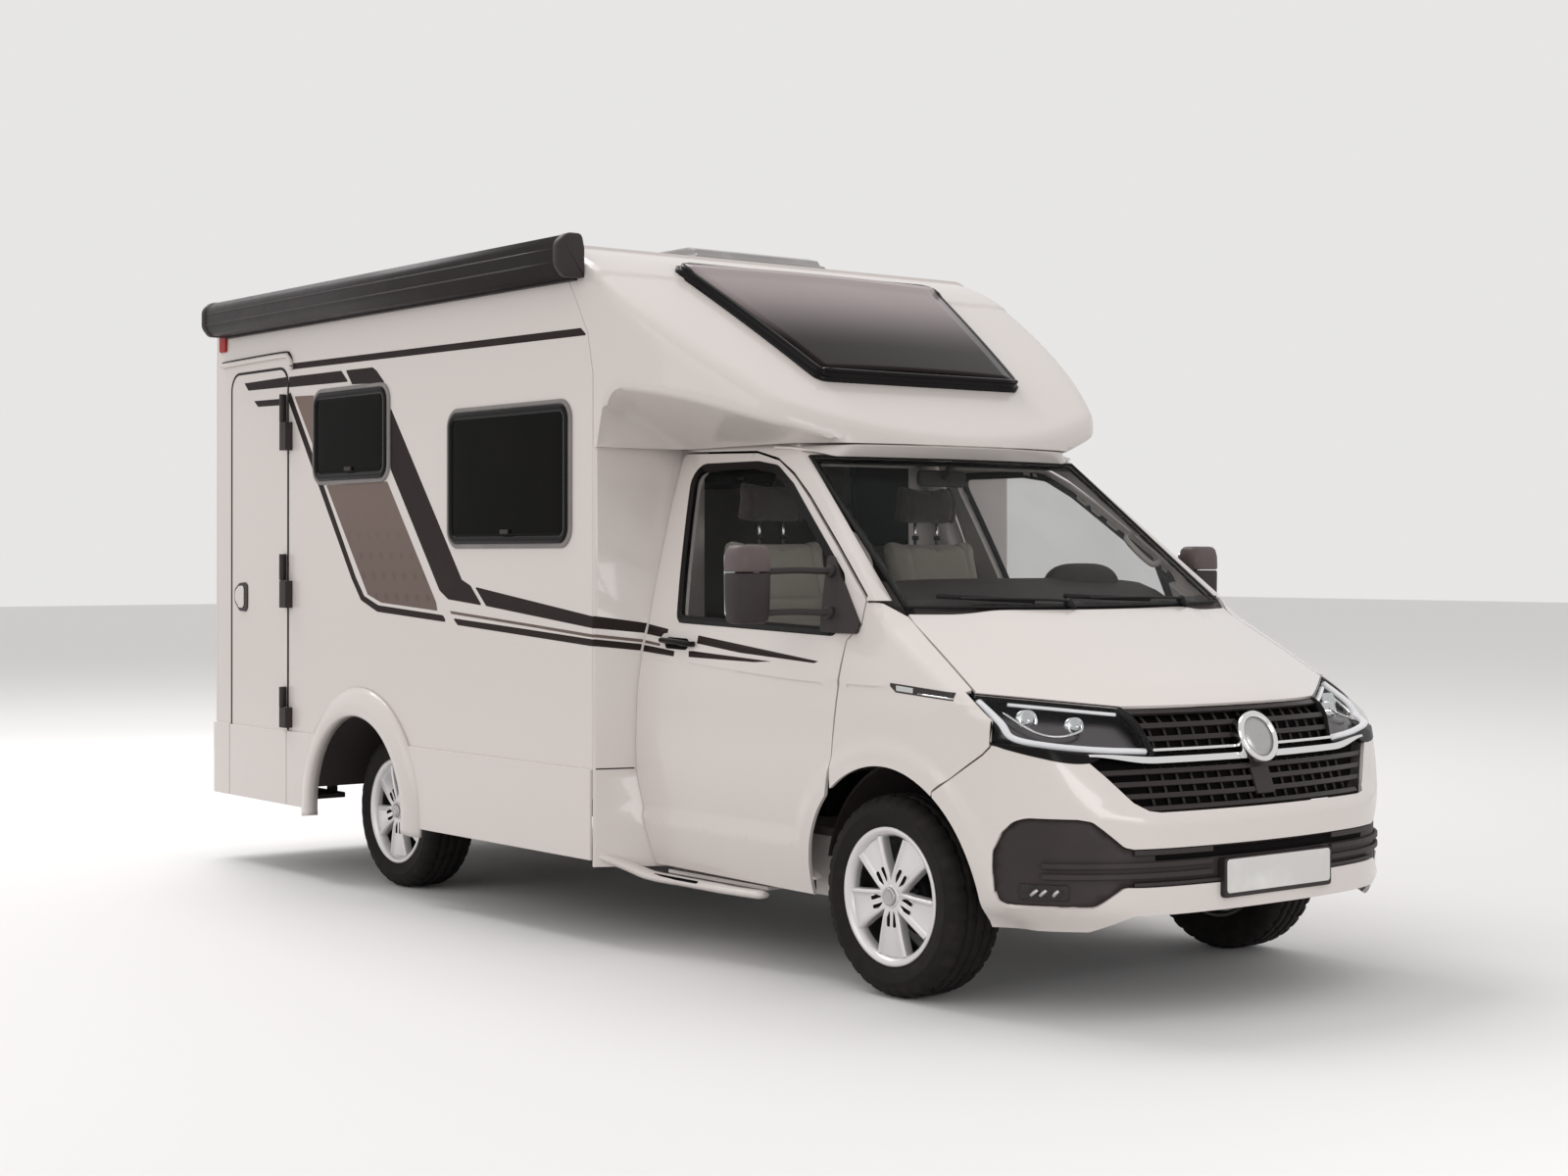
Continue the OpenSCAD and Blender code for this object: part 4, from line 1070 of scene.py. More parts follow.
def make_fog_lamp(s, side):
    y = (np.linspace(0.775, 0.872, 10) * s)[::s]
    low, high = (np.c_[y, np.full(10, z)] for z in (0.398, 0.448))
    add("fog_lamp_" + side, ribbon(low, high, front_at(0.006), 5), "smooth_plastic", solid=0.012, edge=0.003)
    add("fog_lens_" + side, ribbon(low, high, front_at(0.002), 5), "lens", solid=0.003, edge=0.002)
    strokes = [bar(on_front(np.array([(a, 0.412), (b, 0.432)]) * (s, 1), deep(cab, 0.004)), 0.007, 8)
               for a, b in ((0.855, 0.842), (0.838, 0.825), (0.812, 0.800))]
    add("fog_reflectors_" + side, merge(strokes), "satin")


def grille_half(z):
    """Half the grille's width at a height."""
    if z > 0.846:
        return 0.440 + (z - 0.842) * 0.29
    return float(np.interp(z, (0.676, 0.690, 0.790, 0.846), (0.50, 0.556, 0.652, 0.698)))


def make_grille(trim):
    back = on_front(resample(both_sides(GRILLE), 0.03))
    # The grille's back is painted shade: a near-black sheet for the shade behind the slats and bars
    add("grille_back", lay(back, Around(FRONT_AXIS), deep(cab, 0.040), 0.06), "void", solid=0.01,
        nodes=("grille",))
    slats = [
        span(z - h / 2, z + h / 2, grille_half(z), front_at(0.012), 3)
        for z, h in ((0.988, 0.014), (0.944, 0.017), (0.902, 0.017), (0.800, 0.017), (0.762, 0.017),
                (0.724, 0.017),
                     (0.686, 0.014))
    ]
    bars = []
    for y in np.linspace(-0.60, 0.60, 21):
        for low, high in ((0.855, 0.99), (0.68, 0.81)):
            if abs(y) < min(grille_half(low), grille_half(high)):
                ends = [[(y - 0.004, z), (y + 0.004, z)] for z in (low, high)]
                bars.append(ribbon(*ends, front_at(0.026), 4))
    add("grille_slats", merge(slats), "smooth_plastic", solid=0.014, edge=0.003)
    add("grille_bars", merge(bars), "plastic", solid=0.008)
    for name, z, height, half, rise in (("thin", 0.868, 0.010, 0.452, 0.0),
            ("thick", 0.836, 0.022, 0.695, 0.022)):
        y = np.linspace(-half, half, 61)
        middle = z + rise * step(np.abs(y), 0.45, 0.70)
        taper = height * (1 - 0.6 * step(np.abs(y), 0.5, 0.70)) / 2
        strip = ribbon(np.c_[y, middle - taper], np.c_[y, middle + taper], front_at(-0.003), 4)
        add("chrome_strip_" + name, strip, "chrome", solid=0.014, edge=0.003)
    add("grille_sensor", span(0.708, 0.796, 0.045, front_at(0.008), 4, 8), "smooth_plastic", solid=0.012,
        edge=0.003)
    make_disc()


def make_disc():
    """A plain turned disc with a raised rim, on the grille's slope."""
    rim = [(0.001, 0.010), (0.056, 0.0095), (0.070, 0.007), (0.0725, 0.0135), (0.082, 0.015), (0.0885, 0.010),
           (0.090, -0.03), (0.001, -0.03)]
    face = [(0.001, 0.0125), (0.040, 0.0120), (0.068, 0.0090), (0.069, 0.005)]
    centre = on_front([(0.0, 0.886)])[0] + 0.018 * FASCIA_X
    for name, profile, steps, finish in (("front_disc", rim, 72, "chrome"),
            ("front_disc_face", face, 64, "satin")):
        v, faces = turned(profile, steps)
        verts = centre + v[:, :1] * np.array([0, 1.0, 0]) + v[:, 1:2] * FASCIA_Z + v[:, 2:] * FASCIA_X
        add(name, (verts, faces), finish)


LAMP_STRIPS = (
    ("lamp_strip_low_", "lamp_light", 0.018, 0.0145,
     [(0.878, 1.022), (0.880, 0.96), (0.872, 0.912), (0.80, 0.890), (0.64, 0.872), (0.47, 0.862)]),
    ("lamp_strip_top_", "lamp_light", 0.020, 0.0085,
     [(0.80, 1.012), (0.70, 1.000), (0.58, 0.986), (0.51, 0.978)]),
    ("lamp_hook_", "chrome", 0.030, 0.006, [(0.83, 0.99), (0.80, 0.93), (0.74, 0.915), (0.66, 0.93),
            (0.63, 0.955)]),
)
PROJECTORS = ((0.770, 0.962, 0.030), (0.650, 0.942, 0.026))


def make_lamps(trim):
    for s, side in SIDES:
        ring = fillet(LAMP * (s, 1), 0.012)
        view = Facing((0.85, 0.5 * s, 0.15))
        bowl = lay(on_front(resample(inset(ring, 0.006), 0.02)), view, deep(cab, 0.052), 0.03)
        add("lamp_bowl_" + side, bowl, "reflector", solid=0.006, nodes=once(s, "headlamps"))
        rim = resample(ring, 0.012)
        wall = loft([on_front(rim, deep(cab, 0.003)), on_front(inset(rim, 0.006), deep(cab, 0.055))])
        add("lamp_wall_" + side, wall, "gloss_black", solid=0.003)
        add("lamp_cover_" + side, lay(on_front(rim), view, deep(cab, 0.0005), 0.03), "lens", solid=0.003,
            nodes=once(s, "lamp_lenses"))
        for name, finish, depth, radius, points in LAMP_STRIPS:
            path = on_front(np.asarray(points) * (s, 1), deep(cab, depth))
            add(name + side, bar(smooth_path(path), radius, 10, 0.7), finish)
        ahead = unit((0.95, 0.25 * s, 0.1))
        u = unit(np.cross((0, 0, 1), ahead))
        for k, (y, z, r) in enumerate(PROJECTORS):
            v, faces = turned([(0.001, 0.018), (r * 0.5, 0.015), (r * 0.85, 0.005), (r, 0.0),
                    (r * 1.06, 0.004),
                               (r * 1.18, 0.004), (r * 1.2, -0.03)], 36)
            c = on_front([(y * s, z)], deep(cab, 0.040))[0]
            verts = c + v[:, :1] * u + v[:, 1:2] * np.cross(ahead, u) + v[:, 2:] * ahead
            add("projector_%d_%s" % (k, side), (verts, faces), "mirror")
        y = np.linspace(0.66, 0.914, 20)
        z = np.interp(y, (0.66, 0.70, 0.914), (0.854, 0.856, 0.892))
        drop = 0.030 * np.sin(np.clip((y - 0.655) / 0.26, 0, 1) * np.pi) ** 0.6
        low, high = np.c_[y * s, z - 0.002 - drop], np.c_[y * s, z + 0.004]
        add("lamp_strip_black_" + side, ribbon(low[::s], high[::s], front_at(-0.002), 4), "gloss_black",
            solid=0.02, edge=0.002)


# The hood's form over the cab, with a hollow under its fin
FIN = np.array([FRONT_AXLE - 1.447, HALF_WIDTH, 2.125])
FIN_TURN, FIN_DIP = math.radians(-20.5), math.radians(13)
FIN_AXES = np.array([
    [math.cos(FIN_TURN) * math.cos(FIN_DIP), math.sin(FIN_TURN) * math.cos(FIN_DIP), -math.sin(FIN_DIP)],
    [-math.sin(FIN_TURN), math.cos(FIN_TURN), 0],
    [math.cos(FIN_TURN) * math.sin(FIN_DIP), math.sin(FIN_TURN) * math.sin(FIN_DIP), math.cos(FIN_DIP)],
])
SKY_X, SKY_Z = turned_axes(35)
SKY_AT, SKY_LENGTH = np.array([FRONT_AXLE - 1.576, 0, ROOF - 0.055]), 0.885
SKY_TOP, SKY_LOW = 0.700, 0.530
HOOD_FOOT = 1.917


def hood_shape(p):
    x, y, z = p.T
    ay = np.abs(y)
    profile = np.hypot(x - FRONT_AXLE + 6.284, z - ROOF + 7.746) - 9.0
    xc, zc, edge_r = FRONT_AXLE - 1.892, ROOF - 0.75, 0.75
    turn = np.arctan2(x - xc, z - zc)
    slope = (x - FRONT_AXLE + 1.515) * 0.53 + (z - ROOF + 0.114) * 0.848
    over = np.where(turn > math.radians(32), slope, np.hypot(x - xc, z - zc) - edge_r)
    top = np.where(turn < 0, z - ROOF, over)
    bow = np.hypot(x - 1.465 + 2.2, y) - 2.2
    bend = FRONT_AXLE - 1.582
    side = np.where(x < bend, ay - HALF_WIDTH, np.hypot(x - bend, ay + 0.4) - 1.5)
    return smax(smax(smax(profile, bow, 0.02), side, 0.05), top, 0.10)


def recess(p):
    """The hollow under the hood's fin."""
    x, y, z = p.T
    a, b, c = FIN_AXES @ (np.c_[x, np.abs(y), z] - FIN).T
    rise = 0.21 * (a - 0.76 + np.hypot(a - 0.76, 0.06))
    ceiling = (b - 0.4) * -0.4528 + (c - 0.228 - rise) * 0.8917
    under = smax(ceiling, np.maximum(-a, WALL_END + 0.03 - x), 0.09)
    return np.maximum.reduce([under, b - 0.4, a - 1.5])


def hood(p):
    return smax(hood_shape(p), -recess(p), 0.016)


def fin_lines(view):
    """Lines along the fin's edge, on both sides: the edge itself and the ends of its rounding."""
    n = 720
    turn = np.linspace(0, 2 * np.pi, n, endpoint=False)
    way = np.c_[np.cos(turn), np.sin(turn)]
    centre = view.flat([(0.85, -1.04, 1.95)])

    def at(distance):
        return land(*view.rays(centre + way * distance[:, None]), hood_shape)

    lines = []
    for level in (-0.012, 0.0, 0.012):
        low, high = np.zeros(n), np.full(n, 0.9)
        for _ in range(22):
            mid = (low + high) / 2
            within = recess(at(mid)) < level
            low, high = np.where(within, mid, low), np.where(within, high, mid)
        points = at(low)
        keep = points[:, 2] > HOOD_FOOT + 0.006
        first = int(np.flatnonzero(keep & ~np.roll(keep, 1))[0])
        arc = np.roll(points, -first, 0)[: keep.sum()]
        run = lengths(arc)
        arc = spaced(arc, np.linspace(0, run[-1], int(run[-1] / 0.012)), run)
        lines += [arc, arc * (1, -1, 1)]
    return lines


def sky_outline(d):
    """The skylight's outline on its slope, inset by d, as (down, across)."""
    top, low = SKY_TOP - d * 1.1, SKY_LOW - d * 0.9
    corners = [(d, -top), (SKY_LENGTH - d, -low), (SKY_LENGTH - d, low), (d, top)]
    return resample(fillet(corners, 0.05), 0.04)


def sky_point(q, height):
    """Points of the skylight's slope at a height over the hood."""
    start = SKY_AT + q[:, :1] * SKY_X + q[:, 1:] * np.array([0, 1.0, 0]) + 0.3 * SKY_Z
    over = np.broadcast_to(height, (len(q),))[:, None] * SKY_Z
    return land(start, np.broadcast_to(-SKY_Z, start.shape), hood_shape, 0.7) + over


def make_hood(trim):
    seam = np.array([(0.499, HOOD_FOOT), (0.499, 2.2), (0.464, 2.36), (0.277, 2.662)])
    right = on_side(seam, -1, hood, 1.5)
    roof = on_top([(0.236, -1.02), (0.234, -0.5), (0.234, 0), (0.234, 0.5), (0.236, 1.02)], hood)
    turn = np.radians(np.linspace(79.4, -79.4, 260))
    way = -np.c_[np.cos(turn), np.sin(turn), 0 * turn]
    foot = land(np.array([0.3, 0, HOOD_FOOT]) - way * 2.3, way, hood, 2.4, 240)
    ring = np.concatenate([right, roof, mirrored(right), foot])
    view = Dome((0.3, 0, 2.1), (0.7, 0, 0.7))
    hole = sky_point(sky_outline(0.02), 0.0)
    made = lay(ring, view, hood, 0.019, [hole], fin_lines(view))
    add("hood_skin", made, "gelcoat", solid=0.022, edge=0.004, nodes=("nose_hood",))
    y = np.linspace(-0.70, 0.70, 61)
    low = on_front(np.c_[y, 1.866 + 0.030 * step(np.abs(y), 0.58, 0.70)], deep(screen_field, -0.016))
    high = on_front(np.c_[y, np.full(61, HOOD_FOOT - 0.0065)], deep(hood, 0.004))
    middle = (low + high) / 2 + (0.006, 0, 0.002)
    add("hood_lip", loft([low, middle, high], False), "gelcoat", solid=0.010, edge=0.003)
    make_skylight()


def make_skylight():
    section = ((0.0, -0.012), (0.0, 0.016), (0.004, 0.019), (0.009, 0.019), (0.011, 0.023), (0.011, 0.034),
               (0.016, 0.038), (0.034, 0.038), (0.040, 0.033))
    rings = [sky_point(even(sky_outline(d), 120), h) for d, h in section]
    add("skylight_frame", loft(rings), "gloss_black", angle=25)
    lines = []
    for t in np.linspace(0, 1, 25):
        x = 0.038 + t * (SKY_LENGTH - 0.076)
        half = SKY_TOP - 0.042 - (SKY_TOP - SKY_LOW - 0.008) * t
        y = np.linspace(-half, half, 25)
        lines.append(sky_point(np.c_[np.full(25, x), y], 0.033 + 0.010 * (1 - (y / half) ** 2)))
    # The pane's finish pales upwards: painted light behind the pane
    add("skylight_pane", loft(lines, False), "skylight", solid=0.006, nodes=("window_panes", "window_frames"))
    sill = np.c_[np.full(20, SKY_LENGTH - 0.028), np.linspace(-0.50, 0.50, 20)]
    add("skylight_sill", bar(sky_point(sill, 0.034), 0.022, 12, 0.5), "gloss_black")


# Side windows: name, lower rear corner, width and height; their sections as (inset, out)
WINDOWS = (("large", -0.585, 1.545, 0.923, 0.555), ("small", -1.810, 1.840, 0.695, 0.410))
WINDOW_SECTIONS = (
    ("window_rim_", "grey_rim", ((-0.016, -0.004), (-0.016, 0.005), (-0.012, 0.009), (0.002, 0.010),
            (0.005, 0.004))),
    ("window_frame_", "gloss_black",
     ((0.004, 0.003), (0.005, 0.013), (0.009, 0.016), (0.030, 0.016), (0.034, 0.012), (0.036, 0.008))),
    ("window_pane_", "tinted", ((0.034, 0.009), (0.037, 0.0105), (0.05, 0.0110), (0.17, 0.0113))),
)


def make_windows(trim):
    for s, side in SIDES:
        for name, x, z, w, h in WINDOWS:
            tag = "%s_%s" % (name, side)

            def ring(d, out):
                low_x, low_z, wide, tall = x + d, z + d, w - 2 * d, h - 2 * d
                q = rect(low_x, low_z, low_x + wide, low_z + tall, max(0.065 - d, 0.02), 9)[::-s]
                return np.c_[q[:, 0], np.full(len(q), s * (HALF_WIDTH + out)), q[:, 1]]

            for piece, finish, section in WINDOW_SECTIONS:
                caps = END if piece == "window_pane_" else (False, False)
                add(piece + tag, loft([ring(d, out) for d, out in section], True, caps), finish)
            low, middle = z + 0.042, x + w / 2
            v, f = block((middle - 0.03, -0.006, low), (middle + 0.03, 0.006, low + 0.018))
            v[:, 1] += s * (HALF_WIDTH + 0.016)
            add("window_latch_" + tag, (v, f), "plastic", smooth=False, edge=0.003)


AWNING_Z, AWNING_CAP_GROW = 2.580, 0.003
AWNING_CASE = fillet(
    [(0.0, 0.0), (0.0, 0.110), (0.012, 0.165), (0.075, 0.165), (0.118, 0.128), (0.118, 0.040), (0.085, 0.0)],
    (0.004, 0.02, 0.02, 0.045, 0.045, 0.05, 0.03), 7)


def awning_section(x, grow=0.0):
    q = inset(AWNING_CASE, -grow)
    return np.c_[np.full(len(q), x), -(HALF_WIDTH + q[:, 0]), AWNING_Z + q[:, 1]]


def make_awning(trim):
    case = [awning_section(x) for x in np.linspace(-2.748, 0.400, 3)]
    add("awning_case", loft(case, True, BOTH), "awning", angle=50, nodes=("awning",))
    for k, (a, b) in enumerate(((-2.79, -2.742), (0.394, 0.440))):
        ends = ((a, -0.006), (a + 0.006, AWNING_CAP_GROW), (b - 0.006, AWNING_CAP_GROW), (b, -0.006))
        add("awning_cap_%d" % k, loft([awning_section(*end) for end in ends], True, BOTH), "plastic")
    for k, (out, up) in enumerate(((0.119, 0.104), (0.1185, 0.052))):
        line = [(x, -(HALF_WIDTH + out - 0.002), AWNING_Z + up) for x in np.linspace(-2.74, 0.392, 12)]
        add("awning_line_%d" % k, bar(line, 0.0035, 6), "smooth_plastic")
    rail = block((-2.74, -(HALF_WIDTH + 0.02), AWNING_Z - 0.010),
            (0.39, -HALF_WIDTH + 0.002, AWNING_Z + 0.004))
    add("awning_rail", rail, "awning", smooth=False, edge=0.003)


def make_entry_door(trim):
    x0, x1, z0, z1 = ENTRY_REAR, ENTRY_FRONT, 0.560, ENTRY_TOP
    outline = rect(x0, z0, x1, z1, (0.004, 0.004, 0.085, 0.085), 10)
    face, back = -HALF_WIDTH - 0.001, -HALF_WIDTH + 0.032
    grip = [(-2.655, 1.275), (-2.600, 1.230), (-2.512, 1.226), (-2.512, 1.372), (-2.600, 1.366),
            (-2.655, 1.335)]
    flap = [(-2.640, 1.283), (-2.597, 1.246), (-2.545, 1.244), (-2.545, 1.354), (-2.597, 1.352),
            (-2.640, 1.327)]
    slab("entry_door_panel", outline, 1, face, back, "gelcoat", "entry", edge=0.005, nodes=("entry_door",))
    slab("entry_door_skirt", rect(x0, 0.325, x1, 0.672, 0.006), 1, -HALF_WIDTH - 0.012, -HALF_WIDTH,
         "gelcoat", "entry",
         edge=0.003)
    slab("entry_door_lining", inset(outline, 0.05), 1, back - 0.001, back + 0.008, "lining", "entry",
         edge=0.004)
    seal = []
    for d, out in ((0.007, 0.0005), (0.006, 0.003), (-0.005, 0.003), (-0.0055, -0.002)):
        q = inset(outline, d)
        seal.append(np.c_[q[:, 0], np.full(len(q), -HALF_WIDTH - out), q[:, 1]])
    add("entry_door_seal", loft(seal), "seal", "entry")
    slab("entry_handle_cup", fillet(grip, 0.03, 6), 1, face - 0.006, face + 0.002, "smooth_plastic", "entry",
         edge=0.003)
    slab("entry_handle_flap", fillet(flap, 0.025, 6), 1, face - 0.011, face - 0.004, "gelcoat", "entry",
         edge=0.003)
    for k, (low, high) in enumerate(((0.785, 0.880), (1.3825, 1.507), (2.129, 2.261))):
        tube = bar([(-2.100, -1.126, low + 0.001), (-2.100, -1.126, high)], 0.0125, 16)
        leaf = block((-2.134, -1.119, low), (-2.100, -1.098, high))
        add("entry_hinge_leaf_%d" % k, merge([tube, leaf]), "plastic", "entry", smooth=False, edge=0.002)
    gutter = [(-2.79, 2.438), (-2.60, 2.442), (-2.14, 2.447), (-2.07, 2.436), (-2.046, 2.405),
              (-2.045, 2.375)]
    path = np.insert(np.array(gutter), 1, -HALF_WIDTH - 0.008, axis=1)
    add("door_gutter", bar(smooth_path(path), 0.012, 10), "gelcoat")
    add("door_gutter_seal", bar(smooth_path(path + (0, 0.004, 0.014)), 0.006, 8), "seal")
    board = prism(rect(-2.66, 0.336, -2.12, 0.362, 0.006), 1, -1.06, -0.78)
    hangers = [block((x, -0.84, 0.350), (x + 0.04, -0.80, 0.57)) for x in (-2.62, -2.20)]
    add("entry_step", merge([board, *hangers]), "plastic", smooth=False, edge=0.004)


def make_flares(trim):
    profile = [(0.441, 1.090), (0.440, 1.134), (0.447, 1.141), (0.470, 1.141), (0.515, 1.130), (0.542, 1.112),
               (0.546, 1.100)]
    for s, side in SIDES:
        rings = []
        for a in np.radians(np.linspace(-6, 186, 72)):
            up = 1 + 0.03 * max(0, math.sin(a)) ** 2
            rings.append([(REAR_AXLE + math.cos(a) * r, s * y,
                    TYRE_R + math.sin(a) * (r if r < 0.46 else r * up))
                          for r, y in profile])
        add("arch_flare_" + side, flipped(loft(rings, False), s > 0), "gelcoat", solid=-0.004,
            nodes=once(s, "arch_flares"))


# Side bands: film outlines as (x, z), and the finish of each
WALL_BANDS = [
    ("top_line", "stripe", [(-2.035, 2.405), (0.413, 2.384), (0.456, 2.353), (-2.035, 2.376)]),
    ("top_band", "stripe", [(-2.078, 2.343), (-1.556, 2.340), (-1.490, 2.286), (-2.078, 2.294)]),
    ("top_corner", "stripe",
     [(-1.512, 2.339), (-1.262, 2.337), (-1.225, 2.320), (-1.150, 2.262), (-1.452, 2.272)]),
    ("slope_line", "stripe",
     [(-2.078, 2.222), (-1.873, 1.949), (-1.457, 1.397), (-1.368, 1.300), (-1.217, 1.251), (-0.610, 1.218),
      (-0.643, 1.247), (-1.208, 1.280), (-1.338, 1.319), (-1.415, 1.400), (-1.828, 1.958), (-2.078, 2.290)]),
    ("panel_top", "taupe", [(-2.021, 2.248), (-1.826, 2.243), (-1.826, 2.010), (-1.834, 2.011)]),
    ("panel", "taupe",
     [(-1.700, 1.822), (-1.128, 1.826), (-0.700, 1.300), (-0.690, 1.265), (-1.181, 1.292), (-1.305, 1.326)]),
    ("wide_slope", "stripe",
     [(-1.098, 2.150), (-0.487, 1.399), (-0.417, 1.375), (-0.326, 1.294), (-0.599, 1.315), (-0.672, 1.352),
      (-1.098, 1.880)]),
    ("wide_low", "stripe", [(-0.381, 1.370), (0.492, 1.266), (0.492, 1.220), (-0.291, 1.292)]),
    ("thin_low", "taupe",
     [(-0.588, 1.267), (0.042, 1.226), (0.492, 1.196), (0.492, 1.184), (0.052, 1.214), (-0.573, 1.254)]),
    ("dark_low", "stripe",
     [(-0.560, 1.236), (0.042, 1.203), (0.492, 1.177), (0.492, 1.150), (0.042, 1.176), (-0.520, 1.208)]),
]
ENTRY_BANDS = [
    ("door_band", "stripe", [(-2.554, 2.340), (-2.096, 2.344), (-2.096, 2.297), (-2.510, 2.302)]),
    ("door_bar", "stripe", [(-2.447, 2.248), (-2.150, 2.244), (-2.150, 2.213), (-2.404, 2.218)]),
]
CAB_BANDS = [
    ("cab_wide", "stripe", [(0.601, 1.235), (0.735, 1.219), (0.735, 1.184), (0.601, 1.197)]),
    ("cab_tip", "stripe", [(0.935, 1.200), (1.665, 1.129), (1.644, 1.122), (1.210, 1.144), (0.935, 1.170)]),
    ("cab_low", "stripe", [(0.597, 1.155), (0.800, 1.137), (0.800, 1.117), (0.595, 1.130)]),
    ("cab_low_tip", "stripe", [(0.892, 1.142), (1.400, 1.119), (1.300, 1.113), (0.897, 1.118)]),
    ("cab_thin", "taupe", [(0.599, 1.173), (0.700, 1.163), (0.700, 1.153), (0.599, 1.162)]),
]
# Bands across the post behind the cab door: low and high at the wall, then at the door
PILLAR_BANDS = [
    ("pillar_wide", "stripe", (1.219, 1.266), (1.200, 1.238)),
    ("pillar_thin", "taupe", (1.184, 1.196), (1.164, 1.175)),
    ("pillar_low", "stripe", (1.150, 1.177), (1.132, 1.157)),
]
POST_REAR = from_axle([
    (-1410, 312), (-1476, 660), (-1463, 995), (-1440, 1250), (-1462, 1400), (-1493, 1600), (-1519, 1750),
    (-1549, 1925),
])
POST_WALL = [(WALL_END + 0.002, 1.1003), (WALL_END + 0.007, 1.0985), (WALL_END + 0.012, 1.092)]
SCOOP = np.array([
    (0.40, 1.078, 0.358), (0.50, 1.052, 0.338), (0.58, 1.00, 0.308), (0.68, 0.955, 0.276),
    (0.85, 0.935, 0.270),
    (1.15, 0.925, 0.268), (1.33, 0.905, 0.268),
])
SCOOP_R = np.repeat([0.030, 0.036, 0.036, 0.034, 0.032, 0.030, 0.020], 6)[:37]


def make_posts(trim):
    """The posts behind the cab doors, from the living body's wall to the door's flange."""
    x0, y0 = POST_WALL[-1]
    for s, side in SIDES:
        def door_edge(z):
            x = np.interp(z, POST_REAR[:, 1], POST_REAR[:, 0])
            return x, np.abs(on_side(np.c_[x, z], s)[:, 1])

        def across(z, t):
            x, y = door_edge(z)
            return x0 + (x - x0) * t, y0 + (y - y0) * t

        n = 64
        z = np.linspace(0.30, CAB_TOP, n)
        x, y = door_edge(z)
        lines = [(np.full(n, a), np.full(n, b)) for a, b in POST_WALL]
        lines += [(x0 + (x - x0) * t, y0 + (y - y0) * t) for t in (0.03, 0.08, 0.25, 0.5, 0.75, 0.97)]
        lines += [(x + 0.003, y - 0.012), (x + 0.020, y - 0.026), (x + 0.022, y - 0.12)]
        lines += [(np.full(n, 0.47), np.full(n, b)) for b in (0.70, 0.545)]
        made = loft([np.c_[a, s * b, z] for a, b in lines], False)
        add("post_" + side, flipped(made, s > 0), "paint", angle=60, nodes=once(s, "b_panels"))
        level = np.full(14, 0.677)
        x, y = across(level, np.linspace(0, 0.97, 14))
        add("post_seam_" + side, bar(np.c_[x, s * y, level], 0.0028, 6), "seal")
        add("sill_scoop_" + side, bar(smooth_path(SCOOP * (1, s, 1)), SCOOP_R, 16, 0.55), "gelcoat")
        # The sill slot is painted shade: a near-black bar for the shade inside it
        slot = [(0.70, s * 0.9645, 0.283), (0.80, s * 0.962, 0.2815), (0.98, s * 0.955, 0.280)]
        add("sill_slot_" + side, bar(slot, 0.006, 8), "void")
        t = np.linspace(0, 0.985, 16)
        for name, finish, at_wall, at_door in PILLAR_BANDS:
            rows = []
            for start, end in zip(at_wall, at_door):
                height = start + (end - start) * t
                x, y = across(height, t)
                bend = [(a + 0.0008, s * (b + 0.0008), start) for a,
                        b in ((WALL_END - 0.004, 1.1000), *POST_WALL[:2])]
                rows.append(np.vstack([bend, np.c_[x + 0.001, s * (y + 0.0008), height]]))
            add("%s_%s" % (name, side), loft(rows, False), finish)


def make_bands(trim):
    for s, side in SIDES:
        for name, finish, points in WALL_BANDS:
            ring = fillet(points, 0.004 if len(points) < 8 else 0.025)
            slab("%s_%s" % (name, side), ring, 1, s * (HALF_WIDTH - 0.001), s * (HALF_WIDTH + trim.film),
                 finish)
        for name, finish, points in ENTRY_BANDS:
            out = HALF_WIDTH + (0.001 if s < 0 else 0) + trim.film
            slab("%s_%s" % (name, side), points, 1, s * (HALF_WIDTH - 0.0005), s * out, finish,
                 "entry" if s < 0 else "van_body")
        for name, finish, points in CAB_BANDS:
            made = lay(side_ring(points, s), Facing((0, s, 0)), deep(cab, -trim.film), 0.03)
            add("%s_%s" % (name, side), made, finish, side + "_door", solid=0.002)


# Wheels: profiles as (radius, outwards)
TYRE_WALL = [
    (0.2165, 0.083), (0.226, 0.098), (0.234, 0.1045), (0.240, 0.1045), (0.244, 0.108), (0.262, 0.1140),
    (0.283, 0.1172), (0.286, 0.1185), (0.291, 0.1185), (0.294, 0.1165), (0.308, 0.1150), (0.322, 0.1085),
    (0.3335, 0.0970), (0.3400, 0.0835),
]
RIM = [(0.2350, 0.0985), (0.2360, 0.1065), (0.2335, 0.1100), (0.2255, 0.1095), (0.2165, 0.1045),
       (0.2090, 0.0945),
       (0.2040, 0.080), (0.2025, 0.066)]
RIM_BARREL = [(0.2025, 0.066), (0.199, 0.0), (0.199, -0.07), (0.206, -0.092), (0.2285, -0.0965),
        (0.2290, -0.090)]
HUB = [(0.040, 0.020), (0.040, 0.092), (0.038, 0.100), (0.034, 0.104), (0.031, 0.102)]
HUB_CAP = [(0.0315, 0.090), (0.0315, 0.108), (0.029, 0.112), (0.024, 0.1125), (0.022, 0.1105), (0.010, 0.113),
           (0.0005, 0.1135)]
BRAKE_DISC = [(0.060, -0.044), (0.148, -0.044), (0.150, -0.046), (0.150, -0.064), (0.148, -0.066),
        (0.060, -0.066)]
BRAKE_BELL = [(0.075, -0.060), (0.075, 0.000), (0.068, 0.010), (0.034, 0.012)]
BRAKE_GRIP = [(0.060, -0.075), (0.158, -0.085), (0.165, 0.0), (0.158, 0.085), (0.060, 0.075), (0.088, 0.0)]
SPOKES = [math.pi + k * 2 * math.pi / 5 for k in range(5)]
SPOKE_IN, SPOKE_OUT = 0.030, 0.207


